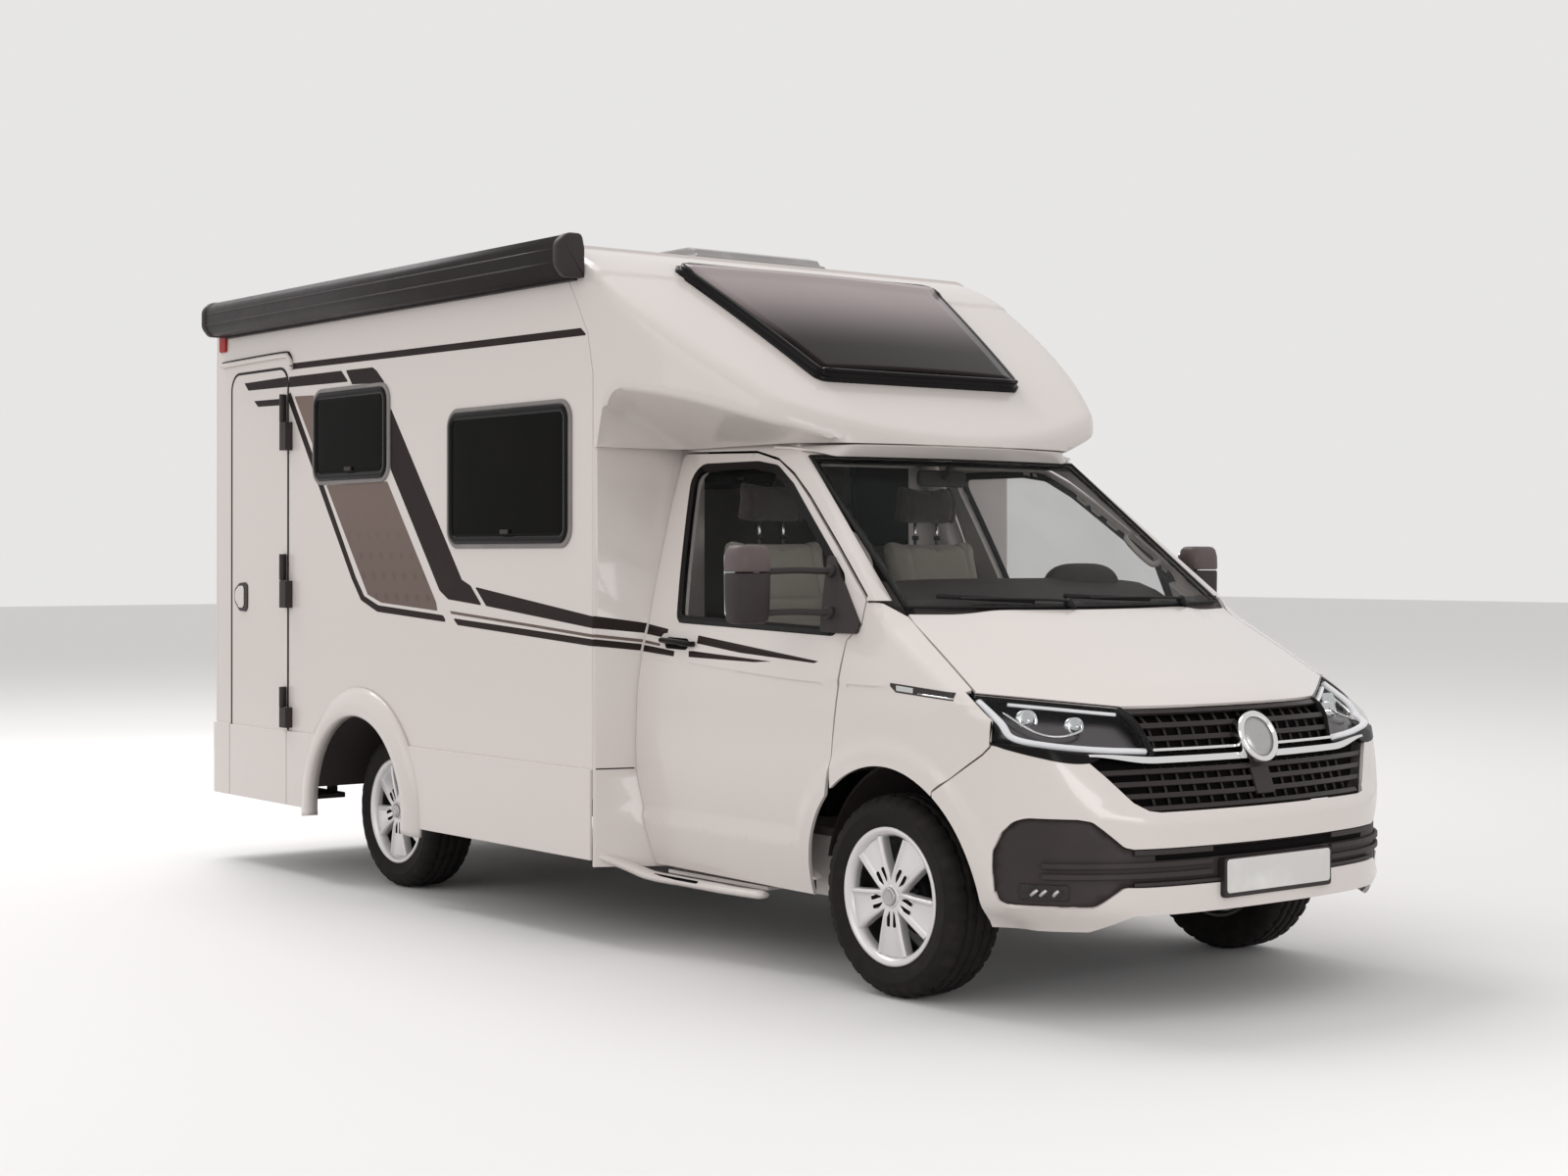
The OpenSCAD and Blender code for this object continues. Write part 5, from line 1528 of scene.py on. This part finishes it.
def tyre_mesh(tread):
    """A tyre with ribs round its tread, cut shoulders and a lined side wall."""
    face = [(0.3425, 0.0720), (0.3435, 0.0640), (0.3435 - tread, 0.0625), (0.3435 - tread, 0.0545),
            (0.3442, 0.0530),
            (0.3448, 0.0260), (0.3448 - tread, 0.0245), (0.3448 - tread, 0.0165), (0.3450, 0.0150)]
    half = TYRE_WALL + face
    profile = half + [(r, -h) for r, h in half[::-1]]
    steps = 216
    verts, faces = turned(profile, steps)
    verts = verts.reshape(len(profile), steps, 3)
    around = np.arange(steps)
    for k, (r, h) in enumerate(profile):
        if 0.060 < abs(h) < 0.112 and r > 0.315:
            cut = (around % 6 < 2) * tread * 0.75
        elif abs(h) < 0.0545 and r > 0.342:
            cut = ((around + (3 if h > 0 else 0)) % 9 < 1) * tread * 0.6
        else:
            continue
        verts[k, :, :2] *= ((r - cut) / r)[:, None]
    return verts.reshape(-1, 3), faces


def spun(form, angle):
    """A form turned about the wheel's axis."""
    v, faces = form
    c, s = math.cos(angle), math.sin(angle)
    return np.c_[v[:, 0] * c - v[:, 1] * s, v[:, 0] * s + v[:, 1] * c, v[:, 2]], faces


def spoke_height(r):
    """Height of the spokes' face over the wheel's middle plane."""
    t = (r - 0.030) / 0.177
    return 0.098 - 0.004 * t + 0.003 * math.sin(math.pi * t)


def spoke_mesh():
    """One wide dished spoke with raised edges, as a loft from hub to rim."""
    rings = []
    for r in np.linspace(SPOKE_IN, SPOKE_OUT, 14):
        t = (r - 0.030) / 0.177
        w = 0.032 + 0.040 * t**1.1
        h = spoke_height(r)
        ridge, hollow = 0.005 * min(1, t * 4), 0.006 * min(1, t * 3)
        section = [(-w, h - 0.036), (-w, h - 0.006), (-w + 0.003, h + ridge * 0.6), (-w + 0.007, h + ridge),
                   (-w + 0.012, h + ridge), (-w + 0.018, h - hollow * 0.5), (-w + 0.026, h - hollow),
                   (0.0, h - hollow * 0.8)]
        section += [(-a, b) for a, b in section[-2::-1]]
        rings.append([(a, r if abs(a) < 1e-6 else math.sqrt(max(r * r - (a * t) ** 2 * 0.9, 1e-6)), b)
                      for a, b in section])
    return loft(rings, True, BOTH)


def spoke_slot(across, wide, out):
    """A long slot in a spoke's face, near the hub."""
    end = wide * 1.1
    ring = fillet([(across - wide, 0.036), (across + wide, 0.036), (across + end, 0.104),
            (across - end, 0.104)], 0.005)
    top = np.array([(x, y, spoke_height(y) - 0.005 + out) for x, y in ring])
    return loft([top - (0, 0, 0.012), top], True, END)


def wheel_bolt(angle):
    v, f = turned([(0.0095, 0.030), (0.0095, 0.074), (0.007, 0.077), (0.0005, 0.077)], 6)
    return v + np.array([-math.sin(angle) * 0.060, math.cos(angle) * 0.060, 0]), f


def make_wheels(trim):
    def slots(wide, out):
        return merge([spun(spoke_slot(across, wide, out), a) for a in SPOKES for across in (-0.0155, 0.0155)])

    pieces = (
        ("tyre_cover_", tyre_mesh(trim.tread), "rubber", dict(angle=30)),
        ("wheel_rim_", turned(RIM, 96), "alloy", {}),
        ("wheel_barrel_", turned(RIM_BARREL, 96), "disc", {}),
        ("wheel_spokes_", merge([spun(spoke_mesh(), a) for a in SPOKES]), "alloy",
         dict(edge=0.0015, angle=50)),
        ("wheel_hub_", turned(HUB), "alloy", {}),
        ("wheel_cap_", turned(HUB_CAP), "satin", {}),
        ("spoke_slot_rims_", slots(0.0105, 0.002), "chrome", dict(smooth=False)),
        # The spoke slots are painted shade: near-black faces for the shade seen through the openings
        ("spoke_slots_", slots(0.0065, 0.003), "void", dict(smooth=False)),
        ("wheel_bolts_", merge([wheel_bolt(a + math.pi / 5) for a in SPOKES]), "satin", dict(smooth=False)),
        ("brake_disc_", turned(BRAKE_DISC, 72), "disc", {}),
        ("brake_bell_", turned(BRAKE_BELL, 48), "steel", {}),
        ("brake_grip_", prism(fillet(BRAKE_GRIP, 0.015), 2, -0.090, -0.020), "engine",
         dict(smooth=False, edge=0.006)),
    )
    nodes = {"tyre_cover_": "tyre_", "wheel_rim_": "rim_"}
    for x, place in ((FRONT_AXLE, "front"), (REAR_AXLE, "rear")):
        for s, side in SIDES:
            tag = "%s_%s" % (place, side)
            carrier = "steer_" + side if place == "front" else "van_body"
            for name, form, finish, look in pieces:
                v, f = flipped(form, s > 0)
                verts = np.c_[x + v[:, 0], s * (HALF_TRACK + v[:, 2]), TYRE_R + v[:, 1]]
                body = carrier if name == "brake_grip_" else "wheel_" + tag
                stands = (nodes[name] + tag,) if name in nodes else ()
                add(name + tag, (verts, f), finish, body, nodes=stands, **look)


# Mirrors: sections of shell and cap as (height, half length, half width)
MIRROR_SHELL = ((1.262, 0.032, 0.055), (1.266, 0.042, 0.066), (1.279, 0.048, 0.073), (1.347, 0.052, 0.0765),
                (1.432, 0.053, 0.0775), (1.439, 0.050, 0.075))
MIRROR_CAP = ((1.443, 0.050, 0.075), (1.449, 0.054, 0.0785), (1.497, 0.053, 0.077), (1.523, 0.047, 0.071),
              (1.534, 0.038, 0.061), (1.537, 0.024, 0.047))
MIRROR_SAIL = from_axle([(-372, 1232), (-172, 1232), (-172, 1268), (-395, 1500), (-425, 1500)])


def make_mirrors(trim):
    cx, cy = FRONT_AXLE - 0.470, CAB_HALF + 0.2075
    turn = np.linspace(0, 2 * np.pi, 40, endpoint=False)
    c, d = np.cos(turn), np.sin(turn)
    for s, side in SIDES:
        body = side + "_door"

        def section(z, a, b):
            x = cx + a * np.sign(c) * np.abs(c) ** np.where(c > 0, 0.75, 0.35)
            y = cy + b * np.sign(d) * np.abs(d) ** 0.45
            return np.c_[x, s * y, np.full(40, z)][::s]

        add("mirror_shell_" + side, loft([section(*row) for row in MIRROR_SHELL], True, BOTH), "plastic",
            body,
            nodes=("mirror_" + side,))
        add("mirror_cap_" + side, loft([section(*row) for row in MIRROR_CAP], True, BOTH), "mirror_cap", body)
        pane = fillet([(-0.061, 1.283), (0.061, 1.283), (0.064, 1.513), (-0.064, 1.513)], 0.02)
        pane = np.c_[s * (cy + pane[:, 0]), pane[:, 1]]
        slab("mirror_pane_" + side, pane, 0, cx - 0.0555, cx - 0.050, "mirror", body)
        sail = lay(side_ring(fillet(MIRROR_SAIL, 0.015), s), Facing((0, s, 0)), deep(cab, -0.014), 0.03)
        add("mirror_sail_" + side, sail, "plastic", body, solid=0.014, edge=0.005)
        for k, (z, back) in enumerate(((1.300, 0.331), (1.445, 0.378))):
            root = on_side([(FRONT_AXLE - back, z)], s, deep(cab, -0.010))[0]
            end = np.array([FRONT_AXLE - 0.452, s * (CAB_HALF + 0.165), z - 0.002])
            arm = [root, root + (-0.006, s * 0.03, 0), root * 0.45 + end * 0.55 + (0, 0, 0.004), end]
            foot = [root + (0, -s * 0.004, 0), root + (-0.002, s * 0.022, 0)]
            add("mirror_arm_%d_%s" % (k, side), bar(smooth_path(arm), 0.0115, 12), "plastic", body)
            add("mirror_root_%d_%s" % (k, side), bar(foot, 0.021, 16), "plastic", body)


def make_rear(trim):
    x = REAR_END
    carrier = fillet([(0.800, 0.690), (1.010, 0.690), (0.990, 1.170), (0.860, 1.250), (0.800, 1.130)], 0.04)
    base = rect(0.840, 0.760, 0.960, 1.090, 0.03)
    lenses = ((0.960, 1.080, "red"), (0.870, 0.955, "amber"), (0.770, 0.865, "red"))
    marker = rect(-2.822, 2.505, -2.748, 2.605, 0.014)
    for s, side in SIDES:
        slab("rear_lamp_carrier_" + side, carrier * (s, 1), 0, x - 0.009, x + 0.001, "gelcoat", edge=0.006)
        slab("rear_lamp_base_" + side, base * (s, 1), 0, x - 0.0115, x - 0.007, "smooth_plastic",
             nodes=once(s, "rear_lamps"))
        strip = [(x - 0.002, s * 1.020, z) for z in (0.700, 1.3, 2.0, 2.660)]
        add("rear_corner_strip_" + side, bar(strip, 0.009), "gelcoat")
        for k, (z0, z1, finish) in enumerate(lenses):
            ring = rect(0.848, z0, 0.952, z1, 0.02) * (s, 1)
            slab("rear_lens_%d_%s" % (k, side), ring, 0, x - 0.0175, x - 0.0105, finish, edge=0.003)
        ring = rect(0.900, 2.575, 0.990, 2.615, 0.012) * (s, 1)
        slab("rear_marker_" + side, ring, 0, x - 0.006, x + 0.001, "red", edge=0.002)
        slab("corner_marker_" + side, marker, 1, s * (HALF_WIDTH - 0.002), s * (HALF_WIDTH + 0.012), "red",
             edge=0.005)
        ring = rect(0.70, 0.40, 0.86, 0.44, 0.01) * (s, 1)
        slab("rear_reflector_" + side, ring, 0, x - 0.0155, x - 0.011, "red", edge=0.001)
    high_lamp = fillet([(-0.17, 2.590), (0.17, 2.590), (0.15, 2.625), (-0.15, 2.625)], 0.012)
    eye = fillet([(-0.035, 2.640), (0.035, 2.640), (0.028, 2.675), (-0.028, 2.675)], 0.008)
    slab("rear_brake_lamp", high_lamp, 0, x - 0.012, x + 0.001, "red", edge=0.003)
    slab("rear_camera", eye, 0, x - 0.026, x + 0.001, "smooth_plastic", edge=0.004)
    holder = rect(-0.28, 0.455, 0.28, 0.60, 0.015)
    slab("rear_plate_holder", holder, 0, x - 0.018, x - 0.011, "smooth_plastic", edge=0.002)
    slab("rear_plate", rect(-0.26, 0.472, 0.26, 0.582, 0.012), 0, x - 0.020, x - 0.016, "plate")
    slab("rear_plate_lamp", rect(-0.09, 0.602, 0.09, 0.625, 0.008), 0, x - 0.030, x - 0.011, "plastic",
         edge=0.003)


# Upholstery: side outlines of the left seat
SEAT_Y = 0.410
CUSHION = from_axle([(-1150, 702), (-672, 702), (-662, 785), (-690, 822), (-1120, 803)])
BACKREST = from_axle([
    (-1158, 828), (-1122, 828), (-1026, 836), (-1247, 1538), (-1275, 1566), (-1317, 1558), (-1328, 1528),
])
HEADREST = from_axle([(-1270, 1627), (-1262, 1721), (-1288, 1788), (-1327, 1788), (-1339, 1640)])
CLOTH_FRAMES, CLOTH_PRESSURE, CLOTH_STIFFNESS = 20, 4.0, 12


def settle(made):
    """Turns a piece's modifiers into its mesh."""
    ready = bpy.data.meshes.new_from_object(made.evaluated_get(bpy.context.evaluated_depsgraph_get()))
    made.modifiers.clear()
    made.data = ready


def points_of(mesh):
    co = np.empty(len(mesh.vertices) * 3)
    mesh.vertices.foreach_get("co", co)
    return co.reshape(-1, 3)


def move_points(mesh, co):
    mesh.vertices.foreach_set("co", co.ravel())
    mesh.update()


def blow_up(made, cap):
    """Swells a form as cloth under pressure; no point moves further than cap."""
    start = points_of(made.data)
    cloth = made.modifiers.new("cloth", "CLOTH")
    cloth.settings.use_pressure = True
    cloth.settings.uniform_pressure_force = CLOTH_PRESSURE
    cloth.settings.effector_weights.gravity = 0
    cloth.settings.tension_stiffness = cloth.settings.compression_stiffness = CLOTH_STIFFNESS
    cloth.point_cache.frame_start, cloth.point_cache.frame_end = 1, CLOTH_FRAMES
    for number in range(1, CLOTH_FRAMES + 1):
        bpy.context.scene.frame_set(number)
    settle(made)
    move = points_of(made.data) - start
    size = np.linalg.norm(move, axis=1)[:, None]
    move_points(made.data, start + move * np.minimum(1, cap / np.maximum(size, 1e-9)))
    bpy.context.scene.frame_set(1)


def stuff(name, outline, width, round_off, cap, finish):
    """A stuffed form: a rounded block, remeshed and blown up as cloth."""
    mesh = bpy.data.meshes.new(name)
    verts, faces = prism(outline, 1, SEAT_Y - width / 2, SEAT_Y + width / 2)
    mesh.from_pydata([tuple(v) for v in verts], [], faces)
    work = bmesh.new()
    work.from_mesh(mesh)
    bmesh.ops.recalc_face_normals(work, faces=work.faces)
    work.to_mesh(mesh)
    work.free()
    mesh.materials.append(FINISHES[finish])
    made = linked(name, mesh)
    soft = made.modifiers.new("round", "BEVEL")
    soft.width, soft.segments, soft.limit_method = round_off, 5, "NONE"
    net = made.modifiers.new("net", "REMESH")
    net.mode, net.voxel_size = "VOXEL", 0.0068
    bpy.context.view_layer.update()
    settle(made)
    blow_up(made, cap)
    return made


def sew(made, seams, depth=0.007, width=0.009):
    """Presses sewn channels into a stuffed form; a seam is a distance of each point from its line."""
    co = points_of(made.data)
    normals = np.array([v.normal for v in made.data.vertices])
    press = np.zeros(len(co))
    for seam in seams:
        press = np.maximum(press, np.exp(-((seam(co) / width) ** 2)))
    move_points(made.data, co - normals * (press * depth)[:, None])


def other_side(made, name):
    """The same stuffed form on the vehicle's other side."""
    mesh = made.data.copy()
    mesh.vertices.foreach_set("co", (points_of(mesh) * (1, -1, 1)).ravel())
    mesh.flip_normals()
    return linked(name, mesh)


def make_seats(trim):
    def across(p):
        return np.abs(p[:, 1] - SEAT_Y)

    def along(d):
        return lambda p: across(p) - d

    def level(z):
        return lambda p: np.where(across(p) < 0.150, p[:, 2] - z, 9)

    def thigh(p):
        return np.where(p[:, 2] > 0.76, p[:, 0] - FRONT_AXLE + 0.80, 9)

    forms = (
        ("seat_cushion", CUSHION, 0.484, 0.030, 0.022, "cloth", [along(0.155), thigh], ("seats",)),
        ("seat_back", BACKREST, 0.466, 0.026, 0.020, "cloth", [along(0.150), level(1.060), level(1.330)], ()),
        ("headrest_pad", HEADREST, 0.302, 0.028, 0.016, "dark_cloth", [along(0.116)], ("headrests",)),
    )
    for name, outline, width, round_off, cap, finish, seams, nodes in forms:
        made = stuff(name + "_left", outline, width, round_off, cap, finish)
        sew(made, seams)
        for piece, stands in ((made, nodes), (other_side(made, name + "_right"), ())):
            dress(piece, "van_body", sub=1, nodes=stands)
    for s, side in SIDES:
        for name, back, low, high, radius, sides, finish in (
            ("headrest_posts_", 1.300, 1.53, 1.66, 0.0065, 14, "chrome"),
            ("headrest_collars_", 1.298, 1.563, 1.582, 0.014, 16, "smooth_plastic"),
        ):
            pair = [bar([(FRONT_AXLE - back, s * (SEAT_Y + d), z) for z in (low, high)], radius, sides)
                    for d in (-0.06, 0.06)]
            add(name + side, merge(pair), finish)


DASH = fillet([(2.000, 1.20), (2.030, 1.285), (1.95, 1.335), (1.80, 1.385), (1.66, 1.415), (1.585, 1.405),
        (1.55, 1.36),
               (1.535, 1.20)], 0.03)
DASH_HALF = 0.74


def make_cabin(trim):
    """Dashboard top, instrument cowl, screen, vents, grab handles, visors and inner mirror."""
    rings = []
    for y in np.linspace(-DASH_HALF, DASH_HALF, 25):
        back = np.clip((DASH[:, 0] - 1.55) / 0.48, 0, 1) * 0.16 * (y / DASH_HALF) ** 2
        rings.append(np.c_[DASH[:, 0] - back, np.full(len(DASH), y),
                DASH[:, 1] - 0.02 * (y / DASH_HALF) ** 4])
    add("dash_top", loft(rings, True, BOTH), "plastic")
    turn = np.linspace(0, 2 * np.pi, 40, endpoint=False)
    rings = []
    for t in np.linspace(0, 1, 9):
        grow = math.cos(t * math.pi / 2 * 0.96) ** 0.7
        height = np.full(40, 1.385 + 0.085 * math.sin(t * math.pi / 2))
        rings.append(np.c_[FRONT_AXLE - 0.40 + 0.095 * grow * np.cos(turn),
                SEAT_Y + 0.185 * grow * np.sin(turn), height])
    add("instrument_cowl", loft(rings, True, END), "plastic")
    screen = rect(-0.13, 1.075, 0.13, 1.205, 0.012) + (0, 0.10)
    slab("dash_screen", screen, 0, FRONT_AXLE - 0.515, FRONT_AXLE - 0.45, "gloss_black", edge=0.004)
    for k, y in enumerate((-0.66, -0.22, 0.20, 0.66)):
        vent = rect(y - 0.055, 1.10, y + 0.055, 1.165, 0.012) + (0, 0.14)
        slab("dash_vent_%d" % k, vent, 0, FRONT_AXLE - 0.503, FRONT_AXLE - 0.44, "smooth_plastic", edge=0.004)
    for s, side in SIDES:
        handle = [(0.447, 0.745, 1.585), (0.432, 0.70, 1.56), (0.332, 0.725, 1.47), (0.317, 0.765, 1.475)]
        handle = [(FRONT_AXLE - x, s * y, z) for x, y, z in handle]
        add("grab_handle_" + side, bar(smooth_path(handle), 0.012, 10), "lining")
        visor = rect(0.10, 1.835, 0.60, 1.900, 0.02) * (s, 1)
        slab("sun_visor_" + side, visor, 0, FRONT_AXLE - 0.80, FRONT_AXLE - 0.785, "lining", edge=0.005)
    arm = [(FRONT_AXLE - 0.70, 0, 1.845), (FRONT_AXLE - 0.74, 0, 1.80)]
    add("inner_mirror_arm", bar(arm, 0.012, 10), "smooth_plastic")
    slab("inner_mirror", rect(-0.12, 1.765, 0.12, 1.83, 0.02), 0, FRONT_AXLE - 0.765, FRONT_AXLE - 0.74,
         "smooth_plastic", edge=0.006)


# Finishes of the CAD nodes that stay in view, and the radius that softens their edges
KEPT = {
    "chassis": ("steel", 0.004), "body_floor": ("board", 0), "cab_floor": ("board", 0),
    "engine_block": ("engine", 0.012), "tank_and_exhaust": ("steel", 0.01),
    "front_suspension": ("steel", 0.004),
    "rear_suspension": ("steel", 0.004), "wheel_liners": ("plastic", 0),
    "side_wall_right": ("gelcoat", 0.002),
    "side_wall_left": ("gelcoat", 0.002), "rear_wall": ("gelcoat", 0), "roof_panel": ("gelcoat", 0),
    "roof_hatch": ("hatch", 0.008), "skirts": ("gelcoat", 0.003), "entry_hinges": ("plastic", 0.002),
    "windscreen_frame": ("paint", 0.003), "cowl": ("plastic", 0.002), "cab_sills": ("gelcoat", 0.006),
    "dashboard": ("plastic", 0.02), "seat_pedestals": ("plastic", 0.01), "knuckle_right": ("steel", 0.004),
    "knuckle_left": ("steel", 0.004), "steering_wheel": ("smooth_plastic", 0.003),
}


def finish_kept_nodes(trim):
    for name, (finish, radius) in KEPT.items():
        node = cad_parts[name]
        node.data.materials.clear()
        node.data.materials.append(FINISHES[finish])
        if radius:
            weld = node.modifiers.new("weld", "WELD")
            weld.merge_threshold = 0.00005
            soft = node.modifiers.new("edges", "BEVEL")
            soft.width, soft.segments, soft.limit_method = radius, 2, "ANGLE"
            soft.angle_limit, soft.harden_normals = math.radians(40), False


# Soft boxes: place, target, width, height and power
LIGHTS = (
    ("top_box", (-9.0, -1.0, 14.0), (1.5, 0, 1.2), 8.0, 8.0, 1500.0),
    ("front_box", (6.8, -1.2, 1.7), (2.9, 0, 0.7), 3.0, 1.2, 34.0),
    ("side_box", (1.0, -9.0, 4.5), (-0.4, -1.0, 1.3), 8.0, 4.0, 90.0),
    ("rear_box", (-9.0, 3.0, 4.5), (-1.5, 0, 1.3), 5.0, 3.0, 80.0),
)
SKY_COLOUR, SKY_STRENGTH = (1.0, 0.99, 0.985, 1), 0.80
CAMERA_AT, CAMERA_TARGET = (8.031, -6.127, 1.499), (0.2315, 0, 1.5364)
LENS, SENSOR, SHIFT = 53.78, 36.0, (0.0060, -0.0262)


def aim(made, place, target):
    made.location = place
    made.rotation_euler = (Vector(target) - made.location).to_track_quat("-Z", "Y").to_euler()


def make_floor(size=60.0):
    """A pale floor, a little paler where it is seen than where it lights the vehicle."""
    mesh = bpy.data.meshes.new("floor")
    mesh.from_pydata([(-size, -size, 0), (size, -size, 0), (size, size, 0), (-size, size, 0)], [],
            [(0, 1, 2, 3)])
    s = Shade("pale_floor")
    seen = [s.node("ShaderNodeLightPath", out="Is %s Ray" % kind) for kind in ("Camera", "Glossy",
            "Transmission")]
    base = s.tint((0.57, 0.56, 0.55), s.noise(0.8, 3) * 0.2, (0.54, 0.53, 0.52))
    pale = s.tint(base, seen[0] + seen[1] + seen[2], (0.74, 0.73, 0.725))
    mesh.materials.append(s.finish(colour=pale, roughness=0.8))
    linked("floor", mesh)


def make_stage(trim):
    make_floor()
    scene = bpy.context.scene
    scene.world = bpy.data.worlds.new("studio")
    scene.world.use_nodes = True
    background = scene.world.node_tree.nodes["Background"]
    background.inputs[0].default_value, background.inputs[1].default_value = SKY_COLOUR, SKY_STRENGTH
    for name, place, target, wide, tall, power in LIGHTS:
        data = bpy.data.lights.new(name, "AREA")
        data.shape, data.size, data.size_y, data.energy = "RECTANGLE", wide, tall, power
        aim(linked(name, data), place, target)
    data = bpy.data.cameras.new("photo_view")
    data.lens, data.sensor_width = LENS, SENSOR
    data.shift_x, data.shift_y = SHIFT
    scene.camera = linked("photo_view", data)
    aim(scene.camera, CAMERA_AT, CAMERA_TARGET)
    scene.view_settings.view_transform = "Standard"


def run(context, *makers):
    """Makes the pieces of one step, after the finishes."""
    if not FINISHES:
        make_finishes(context.scene.camper_finish)
    for maker in makers:
        maker(context.scene.camper_trim)
    return {"FINISHED"}


class CAMPER_OT_stage(bpy.types.Operator):
    """Floor, soft boxes and the camera at the photograph's view"""

    bl_idname = "camper.stage"
    bl_label = "Stage"
    bl_options = {"REGISTER", "UNDO"}

    def execute(self, context):
        return run(context, make_stage)


class CAMPER_OT_kept(bpy.types.Operator):
    """Finishes and soft edges for the CAD nodes that stay in view"""

    bl_idname = "camper.kept"
    bl_label = "Kept nodes"
    bl_options = {"REGISTER", "UNDO"}

    def execute(self, context):
        return run(context, finish_kept_nodes)


class CAMPER_OT_cab(bpy.types.Operator):
    """Bonnet, wings, doors, posts and bumper of the cab"""

    bl_idname = "camper.cab"
    bl_label = "Cab panels"
    bl_options = {"REGISTER", "UNDO"}

    def execute(self, context):
        return run(context, make_bonnet, make_wings, make_doors, make_posts, make_bumper)


class CAMPER_OT_glass(bpy.types.Operator):
    """Windscreen with its border, seal and wipers"""

    bl_idname = "camper.glass"
    bl_label = "Windscreen"
    bl_options = {"REGISTER", "UNDO"}

    def execute(self, context):
        return run(context, make_glass)


class CAMPER_OT_face(bpy.types.Operator):
    """Grille, bright strips, plain disc and headlamps"""

    bl_idname = "camper.face"
    bl_label = "Grille and lamps"
    bl_options = {"REGISTER", "UNDO"}

    def execute(self, context):
        return run(context, make_grille, make_lamps)


class CAMPER_OT_mirrors(bpy.types.Operator):
    """Door mirrors on their arms"""

    bl_idname = "camper.mirrors"
    bl_label = "Mirrors"
    bl_options = {"REGISTER", "UNDO"}

    def execute(self, context):
        return run(context, make_mirrors)


class CAMPER_OT_hood(bpy.types.Operator):
    """Nose hood with its skylight"""

    bl_idname = "camper.hood"
    bl_label = "Hood and skylight"
    bl_options = {"REGISTER", "UNDO"}

    def execute(self, context):
        return run(context, make_hood)


class CAMPER_OT_living(bpy.types.Operator):
    """Windows, awning, entry door, flares and rear lamps of the living body"""

    bl_idname = "camper.living"
    bl_label = "Living body"
    bl_options = {"REGISTER", "UNDO"}

    def execute(self, context):
        return run(context, make_windows, make_awning, make_entry_door, make_flares, make_rear)


class CAMPER_OT_bands(bpy.types.Operator):
    """Film bands along the sides"""

    bl_idname = "camper.bands"
    bl_label = "Side bands"
    bl_options = {"REGISTER", "UNDO"}

    def execute(self, context):
        return run(context, make_bands)


class CAMPER_OT_wheels(bpy.types.Operator):
    """Tyres, five-spoke wheels and brakes"""

    bl_idname = "camper.wheels"
    bl_label = "Wheels"
    bl_options = {"REGISTER", "UNDO"}

    def execute(self, context):
        return run(context, make_wheels)


class CAMPER_OT_cabin(bpy.types.Operator):
    """Dashboard fittings, stuffed seats and headrests"""

    bl_idname = "camper.cabin"
    bl_label = "Cabin"
    bl_options = {"REGISTER", "UNDO"}

    def execute(self, context):
        return run(context, make_cabin, make_seats)


STEPS = (CAMPER_OT_stage, CAMPER_OT_kept, CAMPER_OT_cab, CAMPER_OT_glass, CAMPER_OT_face, CAMPER_OT_mirrors,
         CAMPER_OT_hood, CAMPER_OT_living, CAMPER_OT_bands, CAMPER_OT_wheels, CAMPER_OT_cabin)


class CAMPER_PT_steps(bpy.types.Panel):
    """Lists the steps of the build"""

    bl_idname = "CAMPER_PT_steps"
    bl_label = "Camper van"
    bl_space_type = "VIEW_3D"
    bl_region_type = "UI"
    bl_category = "Camper"

    def draw(self, context):
        for group in (context.scene.camper_finish, context.scene.camper_trim):
            for name in group.__annotations__:
                self.layout.prop(group, name)
        for step_class in STEPS:
            self.layout.operator(step_class.bl_idname)


CLASSES = (Finish, Trim, *STEPS, CAMPER_PT_steps)


def register():
    for item in CLASSES:
        bpy.utils.register_class(item)
    bpy.types.Scene.camper_finish = bpy.props.PointerProperty(type=Finish)
    bpy.types.Scene.camper_trim = bpy.props.PointerProperty(type=Trim)


def unregister():
    del bpy.types.Scene.camper_trim
    del bpy.types.Scene.camper_finish
    for item in reversed(CLASSES):
        bpy.utils.unregister_class(item)


def main():
    register()
    for step_class in STEPS:
        getattr(bpy.ops.camper, step_class.bl_idname.split(".")[1])()


if __name__ == "__main__":
    main()
